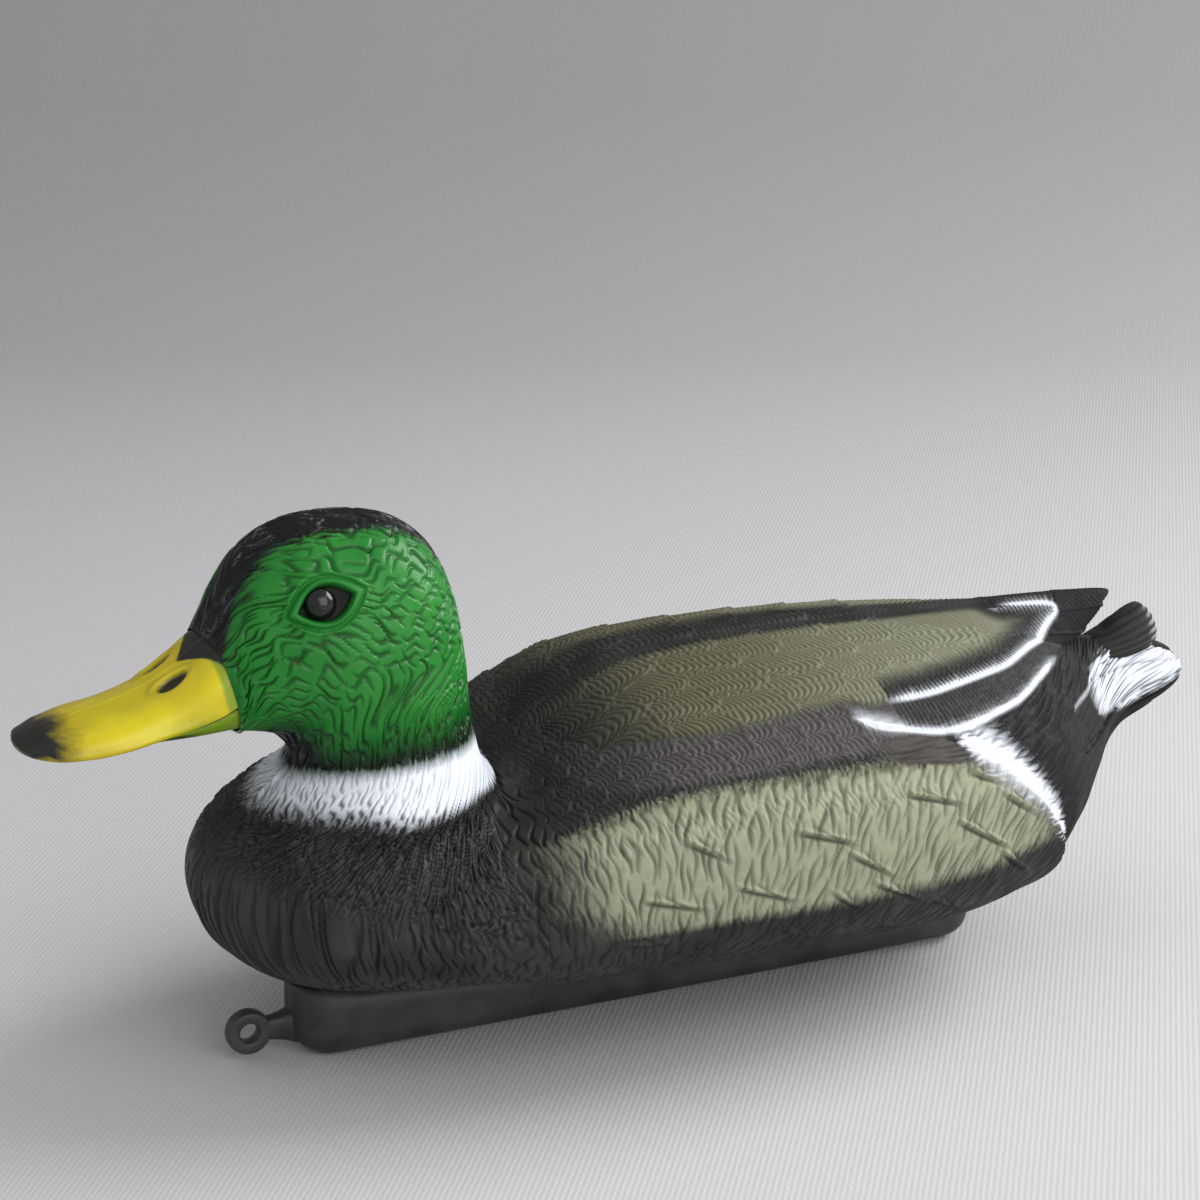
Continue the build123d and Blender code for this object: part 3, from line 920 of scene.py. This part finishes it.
    def group_steps(self) -> Grid:
        """Steps between feather groups: the flank's swell and upper edge, the wing and the crescent."""
        x, above = self.x, self.above_fringe
        fringe = smooth(-52, -40, x) * smooth(92, 70, x) * self.trunk_only
        swell = 1.3 * self.flank * smooth(-2, -16, above)
        tuck = 0.9 * fringe * (smooth(-0.5, 0.5, above) - 1) * smooth(-14, -3, above)
        wing = (0.9 * self.wing * smooth(-40, -20, x) + 0.5 * self.layer_2) * smooth(150, 142, x)
        crescent = smooth(1.0, -1.0, self.past_crescent) * smooth(-16, -3, self.past_crescent)
        return swell + tuck + wing + 1.2 * crescent * self.flank

    def raised(self) -> Grid:
        """The skin with all its relief, pushed out along the bare surface's normals.

        Each area has its own strokes or feather rows. To these are added the steps between the
        groups, the quills, the tail feathers, the seam bead and the eye.

        Returns:
            Points of the finished skin.
        """
        around, along, x = self.around, self.along, self.x
        eye_height, pit, calm = self.eye.relief(self.bare)
        on_head = self.station > self.head_start
        self.pit = pit * on_head
        slope = np.interp(x, (-55, 0, 90), (-0.1, 0.25, 0.75))
        flank = strokes(x - slope * (self.z - 60), around, 2.3, 14, 31, 0.8)
        rump = strokes(around + 0.3 * along, along, 2.2, 19, 41, 0.6)
        hatch = hatching(self.walk_1, 0.24)
        wing_edge, wing = feather_rows(-along, self.from_top, 20, 13, 2.0, 61)
        near_rim = bell(self.off_line_1, 9.0) * smooth(56, 64, x)
        band_edge, band = feather_rows(-along, self.from_top, 9, 8, 1.8, 71)
        breast_edge, breast = self.breast_feathers()
        # each area, its grooves, how deep they cut, and the height of its feather edges
        parts = (
            (self.is_head, self.head_strokes() * np.where(on_head, calm, 1.0), 1.0, 0),
            (self.is_ring, self.comb, 0.5, 0),
            (self.flank, flank, 0.75, 0),
            (self.rump, rump + (self.streak - rump) * self.tail_fan, 0.9, 0),
            (self.long_feathers, strokes(around, along, 1.9, 26, 51, 0.8), 0.55, 0),
            (self.layer_2, 0.7 * hatch + 0.3 * self.comb, 0.45, 0),
            (self.wing, wing * (1 - near_rim) + hatch * near_rim, 0.6, 0.8 * wing_edge),
            (self.band, band, 0.6, 1.2 * band_edge),
            (self.plain, breast, 1.1, 1.3 * breast_edge),
        )
        # this groove mask also sets the painted shade in the grooves of the feather paint
        self.groove = sum(area * cut for area, cut, _, _ in parts)
        self.groove = np.maximum(self.groove, bell(self.past_neck, 1.0) * self.comb)
        height = sum(area * (edge - depth * cut) for area, cut, depth, edge in parts)
        height = height + self.quills() + self.tail_plates() + eye_height * on_head + self.group_steps()
        height = height * smooth(0.5, 3.0, self.from_seam)
        height = height + 0.5 * bell(self.from_seam, 0.7) - 0.3 * bell(self.from_seam - 1.9, 0.7)
        ends = smooth(-8.0, -7.6, self.station) * smooth(24.0, 22.6, self.station)
        return self.bare + outward_normals(self.bare) * (height * ends)[..., None]

    def quills(self) -> Grid:
        """Raised slanting quills on the flank, each a short bar with a groove under it."""
        total = np.zeros_like(self.x)
        for x, z, length, fall in self.quill_bars:
            dx = self.x - x
            dz = (self.z - z + fall * dx) / math.hypot(1, fall)
            bar = smooth(-2, 4, dx) * smooth(length + 2, length - 8, dx) * self.flank
            barb = bell(dz + 0.32 * (dx - 0.3 * length) - 1.5, 0.5) * smooth(0.25 * length, 0.4 * length, dx)
            total = total + bar * (0.85 * bell(dz, 0.65) - 0.6 * bell(dz + 1.3, 0.6) - 0.4 * barb)
            self.groove = np.maximum(self.groove, bar * np.maximum(bell(dz + 1.2, 0.55), 0.7 * barb))
        return total

    def tail_plates(self) -> Grid:
        """Tail feathers as overlapping plates: a saw of the ring's turn, and a step at the coverts."""
        saw = from_middle(self.turn * self.tail_feathers + 0.5) + 0.5
        line = bell((saw - 0.06) * self.girth / self.tail_feathers, 0.7)
        self.groove = np.maximum(self.groove, self.tail_fan * line)
        step = smooth(-0.5, 0.5, self.off_covert) * smooth(118, 128, self.x) * self.rump
        return self.tail_fan * (saw - 1.0 - 0.5 * line) + 0.5 * step

    def pieces(self, side: Side, finish: Material) -> list[Piece]:
        """Makes one side's skin pieces, with shading normals from the whole skin.

        Args:
            side: which half.
            finish: the feather paint.

        Returns:
            One object for each entry of the parting.
        """
        normals = outward_normals(self.skin)
        normals /= np.maximum(np.linalg.norm(normals, axis=-1, keepdims=True), TINY)
        gloss = 0.65 * self.is_head * (1 - self.pit) - 0.22 * self.rump + 0.25 * self.plain
        layers = {
            # the eye opening round the bead takes the black: painted shade in the recess
            "paint_a": (self.is_head, self.white, np.maximum(self.black, self.pit)),
            "paint_b": (self.olive[side], self.mauve, self.brown),
            "relief": (self.groove, self.deep, NEUTRAL_GLOSS + gloss),
        }
        place = self.station[:, 0] + len(self.tail)
        made = []
        for word, first, last, step in self.parting:
            rows = np.flatnonzero((place >= first) & (place <= last))
            cut = (slice(rows[0], rows[-1] + 2), slice(None, None, step))
            kept = {name: [c[cut] for c in channels] for name, channels in layers.items()}
            piece = half_piece(side, f"{word}_skin", self.skin[cut], kept, normals[cut])
            made.append(on_duck(piece, side, finish))
        return made


def on_duck(piece: Piece, side: Side, finish: Material) -> Piece:
    """Puts a finish on a piece of the duck, hangs it on the duck's body and hides the body shell that it
    stands for.
    """
    piece.data.materials.append(finish)
    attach(piece, "duck")
    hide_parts(f"{side.word}_body_shell")
    return piece


@dataclass
class HalfSkin:
    """A painted part of the duck, worked out as half rings through a table of stations."""

    spacing: float
    ring_points: int
    stations: tuple

    def rings(self) -> tuple[Grid, Grid, Grid, Grid]:
        """Bare points, their share of the turn, and the distance from the lower and the upper seam."""
        stations, _ = through(self.stations, self.spacing)
        bare, turn = half_rings(stations, self.ring_points)
        around = arc_length(bare, 1)
        return bare, turn, around, around[:, -1:] - around


@dataclass
class Bill(HalfSkin):
    """The duck's bill: a broad upper mandible over a narrower lower one, with nostrils."""

    spacing: float = 0.4
    ring_points: int = 181
    stations: tuple = (
        (-128.0, 102.6, -132.0, 131.4, 19.4, 0.46, 2.2, 3.8),
        (-134.0, 102.6, -138.6, 127.2, 18.8, 0.45, 2.3, 3.6),
        (-142.0, 102.6, -146.0, 122.4, 17.9, 0.42, 2.4, 2.8),
        (-152.0, 102.8, -154.0, 118.4, 17.4, 0.40, 2.4, 2.3),
        (-163.0, 103.1, -164.0, 115.2, 17.7, 0.38, 2.3, 2.1),
        (-174.0, 103.3, -174.5, 112.8, 17.5, 0.38, 2.2, 2.2),
        (-182.0, 103.6, -182.0, 110.7, 15.3, 0.40, 2.2, 2.2),
        (-187.2, 104.2, -187.2, 108.8, 10.8, 0.45, 2.1, 2.1),
        (-189.4, 105.0, -189.6, 107.4, 5.6, 0.50, 2.0, 2.0),
        (-190.0, 105.9, -190.2, 106.3, 0.6, 0.50, 2.0, 2.0),
    )
    # the mouth's line as x and z, and the nostril's middle and half sizes as x and y
    mouth: tuple = (
        (-189, -180, -170, -163, -157, -146, -140, -136, -132),
        (105.2, 104.2, 104.2, 105.2, 106.6, 109.0, 110.8, 112.4, 114.6),
    )
    nostril_at: tuple = (-147.6, 7.8)
    nostril_size: tuple = (4.8, 3.3)

    def build(self, side: Side, finish: Material) -> Piece:
        """Makes one half of the bill.

        The mouth is a line that falls from the gape to the lower edge; below it the surface steps
        in, and a groove follows it. The nostril is a tilted oval pit with a raised rim.

        Args:
            side: which half.
            finish: the bill enamel.

        Returns:
            The bill's half.
        """
        bare, turn, around, from_top = self.rings()
        x, z = bare[..., 0], bare[..., 2]
        below = np.interp(x, *self.mouth) - z
        open_side = smooth(0.02, 0.10, turn)
        height = (-1.3 * smooth(-0.3, 0.5, below) - 0.6 * bell(below - 0.5, 0.5)) * open_side
        height = height + 0.6 * bell(below + 1.5, 1.0) * smooth(-136, -150, x)
        dx, dy = x - self.nostril_at[0], -bare[..., 1] - self.nostril_at[1]
        oval = np.hypot((dx + 0.2 * dy) / self.nostril_size[0], (dy - 0.2 * dx) / self.nostril_size[1])
        top_side = turn > 0.6
        pit = smooth(1.05, 0.70, oval) * top_side
        height = height - 1.5 * pit + 0.4 * bell(oval - 1.25, 0.22) * top_side
        seam = np.minimum(around, from_top)
        height = height * smooth(0.3, 1.8, seam) + 0.2 * bell(seam, 0.6) + 0.10 * ripple(x / 9, around / 6, 5)
        points = bare + outward_normals(bare) * (height * smooth(-190.0, -187.0, x))[..., None]
        noise = ripple(x / 5, around / 4, 8) + 0.6 * ripple(x / 1.7, around / 1.5, 9)
        low_side = smooth(7, -1, z - 109 - 0.5 * noise) * smooth(-165, -138, x)
        lime = np.maximum(0.95 * smooth(0.3, 1.0, below), 0.65 * low_side)
        lime = np.maximum(lime, 0.8 * smooth(-136.6, -135.0, x + 0.2 * (z - 118)))
        under = smooth(0.40, 0.33, turn + 0.012 * noise) * smooth(-138, -150, x) + smooth(0.14, 0.06, turn)
        tip = smooth(-171, -184, x + 2.0 * noise) * smooth(104.8, 106.8, z + 0.5 * noise)
        ridge = smooth(-0.5, 0.5, x + 143.6 + 0.5 * bare[..., 1] + 0.25 * noise) * smooth(120, 122, z)
        black = np.clip(pit + tip + 0.95 * under + ridge + 0.9 * bell(below - 0.6, 0.5) * open_side, 0, 1)
        worn = smooth(-166, -178, x + 2 * noise) + bell(z - 106.5, 1.6) + bell(oval - 1.3, 0.3)
        return on_duck(half_piece(side, "bill", points, {"paint_a": [lime, black, worn]}), side, finish)


@dataclass
class WingTips(HalfSkin):
    """Crossed wing tips: a ridge of long feathers that overhangs the rump and ends in a point."""

    spacing: float = 0.5
    ring_points: int = 161
    stations: tuple = (
        (50.0, 100.0, 50.0, 108.0, 38.0, 0.12, 2.0, 1.8),
        (72.0, 98.0, 72.0, 109.6, 38.0, 0.12, 2.0, 1.7),
        (92.0, 95.5, 92.0, 109.6, 35.0, 0.10, 2.0, 1.6),
        (110.0, 93.0, 110.0, 109.3, 29.0, 0.10, 2.0, 1.5),
        (126.0, 91.5, 126.0, 108.9, 20.0, 0.12, 2.0, 1.45),
        (138.0, 91.5, 139.0, 108.4, 14.0, 0.14, 2.0, 1.45),
        (147.0, 93.5, 150.0, 107.7, 9.5, 0.18, 2.0, 1.5),
        (154.5, 98.0, 158.0, 107.1, 6.0, 0.25, 2.0, 1.6),
        (159.5, 102.5, 162.5, 106.3, 3.0, 0.40, 2.0, 1.8),
        (162.5, 105.0, 163.5, 105.6, 0.5, 0.50, 2.0, 2.0),
    )
    feather_width: float = 7.5
    barb_pitch: float = 2.1
    # dark stripe along the back: its half width on the left, and on the right by x
    near_stripe: float = 7.0
    far_stripe: tuple = ((50, 95), (20, 9))

    def build(self, side: Side, finish: Material, skin: DuckSkin) -> Piece:
        """Makes one side's wing tip, whose paint and hatching follow the skin's white line.

        Args:
            side: which half.
            finish: the feather paint.
            skin: the duck's skin, for the outlines that run on from it.

        Returns:
            The wing tip's half.
        """
        bare, _, around, from_top = self.rings()
        x, out = bare[..., 0], -bare[..., 1]
        off, walked = near_line(x, out, skin.white_line_1)
        inside = smooth(-0.6, 0.6, np.interp(x, *skin.wing_outline) - out) * smooth(146, 138, x)
        hatch = hatching(walked, 0.25)
        slant = (x - 0.8 * from_top + 0.5 * ripple(x / 5, from_top / 3, 3)) / self.barb_pitch
        barb = bell(from_middle(slant), 0.24)
        close = bell(off, 9.0)
        plate = from_middle((from_top + 0.10 * x) / self.feather_width) + 0.5
        quill = bell((plate - 0.05) * self.feather_width, 0.5)
        groove = inside * (close * hatch + (1 - close) * barb)
        groove = np.maximum(groove, (1 - inside) * np.maximum(quill, 0.5 * barb))
        height = 0.5 * plate * (1 - inside) + 0.7 * inside - 0.40 * groove
        height = height * smooth(0.4, 2.4, np.minimum(around, from_top)) + 0.5 * bell(from_top, 0.7)
        points = bare + outward_normals(bare) * (height * smooth(163.5, 159, x))[..., None]
        stripe = np.interp(x, *self.far_stripe) if side is Side.RIGHT else self.near_stripe
        olive = inside * smooth(3, 12, np.abs(off) + 1.5 * hatch) * smooth(136, 116, x)
        olive = olive * smooth(0.6 * stripe, 1.2 * stripe, from_top)
        reach = smooth(52, 66, x) * smooth(117, 128, x + 100 * (out > 6)) * smooth(0.8, 2.0, from_top)
        white = reach * (bell(off, 0.8) + 0.45 * inside * bell(off, 3.0) * (1 - 0.75 * hatch))
        black = 0.95 * (1 - inside) + 0.75 * inside * smooth(11, 3, np.abs(off))
        none = np.zeros_like(x)
        layers = {
            "paint_a": [none, white, black],
            "paint_b": [olive, none, none],
            "relief": [groove, none + 0.4, 0.35 * (1 - black)],
        }
        return on_duck(half_piece(side, "wing_tip", points, layers), side, finish)


@dataclass
class TailFeather(HalfSkin):
    """Curled feather that stands up on the middle of the tail."""

    spacing: float = 0.4
    ring_points: int = 101
    stations: tuple = (
        (146.0, 84.0, 146.0, 88.0, 7.0, 0.30, 2.0, 1.6),
        (154.0, 84.0, 154.0, 89.5, 9.0, 0.30, 2.0, 1.6),
        (162.0, 84.0, 161.0, 92.5, 9.5, 0.30, 2.0, 1.5),
        (170.0, 84.0, 168.0, 97.3, 9.0, 0.30, 2.0, 1.5),
        (176.0, 85.0, 174.5, 100.3, 7.5, 0.30, 2.0, 1.5),
        (179.5, 87.0, 179.0, 96.5, 5.0, 0.40, 2.0, 1.8),
        (181.0, 89.5, 181.0, 91.5, 0.8, 0.50, 2.0, 2.0),
    )
    barb_pitch: float = 0.9

    def build(self, side: Side, finish: Material) -> Piece:
        """Makes one half, with barbs that fan out from its foot and a paler rim.

        Args:
            side: which half.
            finish: the feather paint.

        Returns:
            The feather's half.
        """
        bare, _, _, from_top = self.rings()
        x, z = bare[..., 0], bare[..., 2]
        fan = np.arctan2(z - 84, x - 140) * 16 + 0.3 * ripple(x / 6, z / 6, 4)
        barb = bell(from_middle(fan / self.barb_pitch), 0.22)
        height = -0.45 * barb * smooth(0.4, 1.8, from_top) * smooth(150, 158, x) * smooth(181, 178, x)
        points = bare + outward_normals(bare) * height[..., None]
        none = np.zeros_like(x)
        rim = 0.35 * smooth(174, 178, x) * (1 - barb)
        layers = {
            "paint_a": [none, rim, none + 0.35],
            "paint_b": [none, none, none + 0.5],
            "relief": [barb, none, none + 0.2],
        }
        return on_duck(half_piece(side, "tail_feather", points, layers), side, finish)


# ------------------------------------------------------------------------------ the keel
@dataclass
class Keel:
    """Round weighted keel in two halves, with the anchor-line eyelet at its front."""

    half_width: float = 13.0
    front: float = -115.0
    rear: float = 113.0
    end_radius: float = 12.0
    eyelet_x: float = -127.0
    eyelet_z: float = 9.0
    eyelet_radius: float = 6.7
    bore_radius: float = 2.8
    eyelet_thickness: float = 5.0
    # top of the keel under the belly, as x and z
    belly_line: tuple = (
        (-115, -95, -55, -15, 30, 75, 113), (24.5, 21.9, 18.5, 16.1, 14.9, 15.1, 21.0),
    )

    def build(self, side: Side, finish: Material) -> Piece:
        """Makes one half of the keel.

        Its plan is a slot: the half width falls as a quarter circle over each end. Each section
        is a squared-off superellipse from the flat underside to just below the belly.

        Args:
            side: which half.
            finish: the keel's plastic.

        Returns:
            The keel's half.
        """
        end = self.end_radius
        middle = np.linspace(self.front + end, self.rear - end, 140)
        sweep = np.linspace(0, np.pi / 2, 24)
        nose = self.front + end - end * np.cos(sweep[:-1])
        x = np.concatenate([nose, middle, self.rear - end + end * np.sin(sweep[1:])])
        from_end = np.minimum(x - self.front, self.rear - x)
        inset = 1 - np.sqrt(np.clip(1 - (1 - np.clip(from_end / end, 0, 1)) ** 2, 0, 1))
        high = np.interp(x, *self.belly_line) - 3.0 * inset * (x < 0) - 5.0 * inset * (x > 0)
        wide = self.half_width * (1 - inset) + 0.05
        points, _ = half_rings(joined(x, 9.0 * inset, x, high, wide, 0.5, 3.0, 4.5), 72)
        points[..., 2] = np.maximum(points[..., 2], 0.0)
        z = points[..., 2]
        flange = 0.45 * bell(points[..., 1], 0.8) * smooth(0.02, 0.1, z) * smooth(1.0, 4.0, z)
        points = points + outward_normals(points) * flange[..., None]
        return self.on_keel(half_piece(side, "keel_skin", points, {}), side, finish)

    def eyelet(self, finish: Material) -> list[Piece]:
        """Makes the eyelet: a rounded flat ring turned about Y, and the short neck behind it.

        Args:
            finish: the keel's plastic.

        Returns:
            The ring and the neck.
        """
        turn = np.linspace(0, 2 * np.pi, 72, endpoint=False)[:, None]
        profile = np.linspace(0, 2 * np.pi, 28, endpoint=False)[None, :]
        c, s = np.cos(profile), np.sin(profile)
        middle = (self.eyelet_radius + self.bore_radius) / 2
        radius = middle + (self.eyelet_radius - self.bore_radius) / 2 * signed_power(c, 0.55)
        thick = self.eyelet_thickness / 2 * signed_power(s, 0.55)
        ring = joined(self.eyelet_x + radius * np.cos(turn), thick, self.eyelet_z + radius * np.sin(turn))
        hoop = surface("keel_eyelet", np.concatenate([ring, ring[:1]]), wrap=True)
        u = np.linspace(0, 1, 12)[:, None]
        x = self.eyelet_x + self.bore_radius + 1.6 + 9.5 * u
        tall = self.eyelet_z + (3.4 + 2.2 * u**2) * signed_power(c, 0.6)
        neck = joined(x, (2.4 + 2.0 * u**2) * signed_power(s, 0.6), tall)
        stem = surface("keel_eyelet_neck", neck[:, ::-1], wrap=True)
        return [self.on_keel(piece, Side.LEFT, finish) for piece in (hoop, stem)]

    @staticmethod
    def on_keel(piece: Piece, side: Side, finish: Material) -> Piece:
        """Puts a finish on a piece of the keel, hangs it on the keel's body and hides the keel shell that it
        stands for.
        """
        piece.data.materials.append(finish)
        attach(piece, "keel")
        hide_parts(f"keel_{side.word}_shell")
        return piece


# ------------------------------------------------------------------------------ carried-over parts
@dataclass(frozen=True)
class InnerParts:
    """CAD nodes that are shown as they are, with a worked finish on each."""

    finishes: tuple = (
        ("left_eye", EYE_BLACK),
        ("right_eye", EYE_BLACK),
        ("eye_retainers", NYLON),
        ("keel_pegs", PEG_PLASTIC),
        ("ballast_bar", CAST_IRON),
    )

    def dress(self) -> None:
        """Gives each node its finish in every slot; nodes of one finish share its material."""
        made: dict[str, Material] = {}
        for node, finish in self.finishes:
            if finish.name not in made:
                made[finish.name] = finish.material()
            material = made[finish.name]
            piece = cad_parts[node]
            for slot in piece.material_slots:
                slot.material = material
            if not piece.material_slots:
                piece.data.materials.append(material)
            log.info("dressed %s", node)


# ------------------------------------------------------------------------------ studio
@dataclass
class Studio:
    """Pale woven floor running up into a plain backdrop, soft lamps and the camera."""

    azimuth: float = math.radians(-24.759)
    elevation: float = math.radians(17.0)
    camera_at: tuple = (-366.9, -763.4, 382.1)
    focal: float = 90.0
    sensor: float = 36.0
    far_clip: float = 30.0
    lamp_aim: tuple = (0, 0, 60)
    # each softbox: its name, place, size and watts
    softboxes: tuple = (
        ("high_softbox", (1350, -60, 950), 1000, 25),
        ("front_softbox", (350, -1500, 850), 1600, 17),
    )
    sky: tuple = (0.95, 0.97, 1.0, 1)
    sky_strength: float = 0.60
    floor_front: float = -2200.0
    floor_reach: float = 900.0
    bend: float = 900.0
    backdrop_height: float = 2600.0
    half_width: float = 4200.0
    # near colour of the cloth, and a darker far colour that is painted shade
    near_cloth: tuple = paint(200, 199, 201)
    shaded_far_cloth: tuple = paint(152, 149, 148)
    thread: tuple = paint(150, 148, 150)
    thread_scale: float = 190.0
    weave_turn: float = math.radians(35)

    def sweep(self) -> None:
        """Floor and backdrop in one sheet, turned to the camera: flat, a quarter circle, then upright."""
        bend, a = self.bend, self.azimuth
        arc = np.linspace(0, np.pi / 2, 32)
        rear = self.floor_reach + bend
        f = np.concatenate([[self.floor_front], self.floor_reach + bend * np.sin(arc), [rear]])[:, None]
        up = np.concatenate([[0.0], bend * (1 - np.cos(arc)), [self.backdrop_height]])[:, None]
        side = np.linspace(-self.half_width, self.half_width, 9)[None, :]
        points = joined(side * math.cos(a) - f * math.sin(a), side * math.sin(a) + f * math.cos(a), up)
        sheet = surface("studio_sweep", points[:, ::-1])
        sheet.data.materials.append(self.cloth())

    def cloth(self) -> Material:
        """Pale cloth with a fine weave at a slant, and painted shade that grows darker with distance."""
        g = Graph("studio_cloth")
        slanted = g.turned(self.weave_turn)
        weave = []
        for direction in ("X", "Y"):
            wave = g.tree.nodes.new("ShaderNodeTexWave")
            wave.bands_direction = direction
            wave.inputs["Scale"].default_value = self.thread_scale
            wave.inputs["Distortion"].default_value = 0.6
            g.link(slanted, wave.inputs["Vector"])
            weave.append(wave.outputs["Fac"])
        threads = g.math("MULTIPLY", weave[0], weave[1])
        split = g.tree.nodes.new("ShaderNodeSeparateXYZ")
        g.link(g.turned(-self.azimuth), split.inputs[0])
        # painted shade: the cloth darkens with distance from the camera
        colour = g.mix(g.shift(split.outputs["Y"], 0.0, 1.3, 0, 1), self.near_cloth, self.shaded_far_cloth)
        colour = g.mix(g.math("MULTIPLY", threads, 0.10), colour, self.thread)
        g.feed(colour, "Base Color")
        g.shader.inputs["Roughness"].default_value = 0.9
        g.bump(threads, 0.25, 0.0006)
        return g.material

    def lamp(self, name: str, at: tuple, size: float, watts: float) -> None:
        """Adds a square soft lamp at a place in millimetres, turned to face the duck."""
        data = bpy.data.lights.new(name, "AREA")
        data.size = size * MM
        data.energy = watts
        lamp = bpy.data.objects.new(name, data)
        lamp.location = Vector(at) * MM
        lamp.rotation_euler = (Vector(self.lamp_aim) - Vector(at)).to_track_quat("-Z", "Y").to_euler()
        bpy.context.scene.collection.objects.link(lamp)

    def light(self) -> None:
        """A large high softbox on the right, a broad one beside the camera, and an even pale world."""
        for name, at, size, watts in self.softboxes:
            self.lamp(name, at, size, watts)
        world = bpy.data.worlds.new("studio_world")
        world.use_nodes = True
        background = world.node_tree.nodes["Background"]
        background.inputs["Color"].default_value = self.sky
        background.inputs["Strength"].default_value = self.sky_strength
        bpy.context.scene.world = world

    def camera(self) -> None:
        """The camera, level from side to side, looking down by the elevation."""
        data = bpy.data.cameras.new("camera")
        data.lens = self.focal
        data.sensor_width = self.sensor
        data.clip_end = self.far_clip
        camera = bpy.data.objects.new("camera", data)
        camera.location = Vector(self.camera_at) * MM
        a, e = self.azimuth, self.elevation
        look = Vector((-math.sin(a) * math.cos(e), math.cos(a) * math.cos(e), -math.sin(e)))
        camera.rotation_euler = look.to_track_quat("-Z", "Y").to_euler()
        bpy.context.scene.collection.objects.link(camera)
        bpy.context.scene.camera = camera

    def build(self) -> None:
        """Sets up the whole studio."""
        self.sweep()
        self.light()
        self.camera()
        bpy.context.scene.view_settings.view_transform = "Standard"


def main() -> None:
    """Builds the studio, the duck's skin, bill, wing tips and keel, and dresses the CAD parts."""
    logging.basicConfig(level=logging.INFO, format="%(message)s")
    Studio().build()
    skin = DuckSkin()
    feathers = FeatherPaint().material()
    enamel = BillPaint().material()
    keel_plastic = KEEL_PLASTIC.material()
    keel = Keel()
    made = []
    for side in Side:
        made.extend(skin.pieces(side, feathers))
        made.append(Bill().build(side, enamel))
        made.append(WingTips().build(side, feathers, skin))
        made.append(TailFeather().build(side, feathers))
        made.append(keel.build(side, keel_plastic))
    made.extend(keel.eyelet(keel_plastic))
    for piece in made:
        log.info("built %s with %d points", piece.name, len(piece.data.vertices))
    InnerParts().dress()


if __name__ == "__main__":
    main()
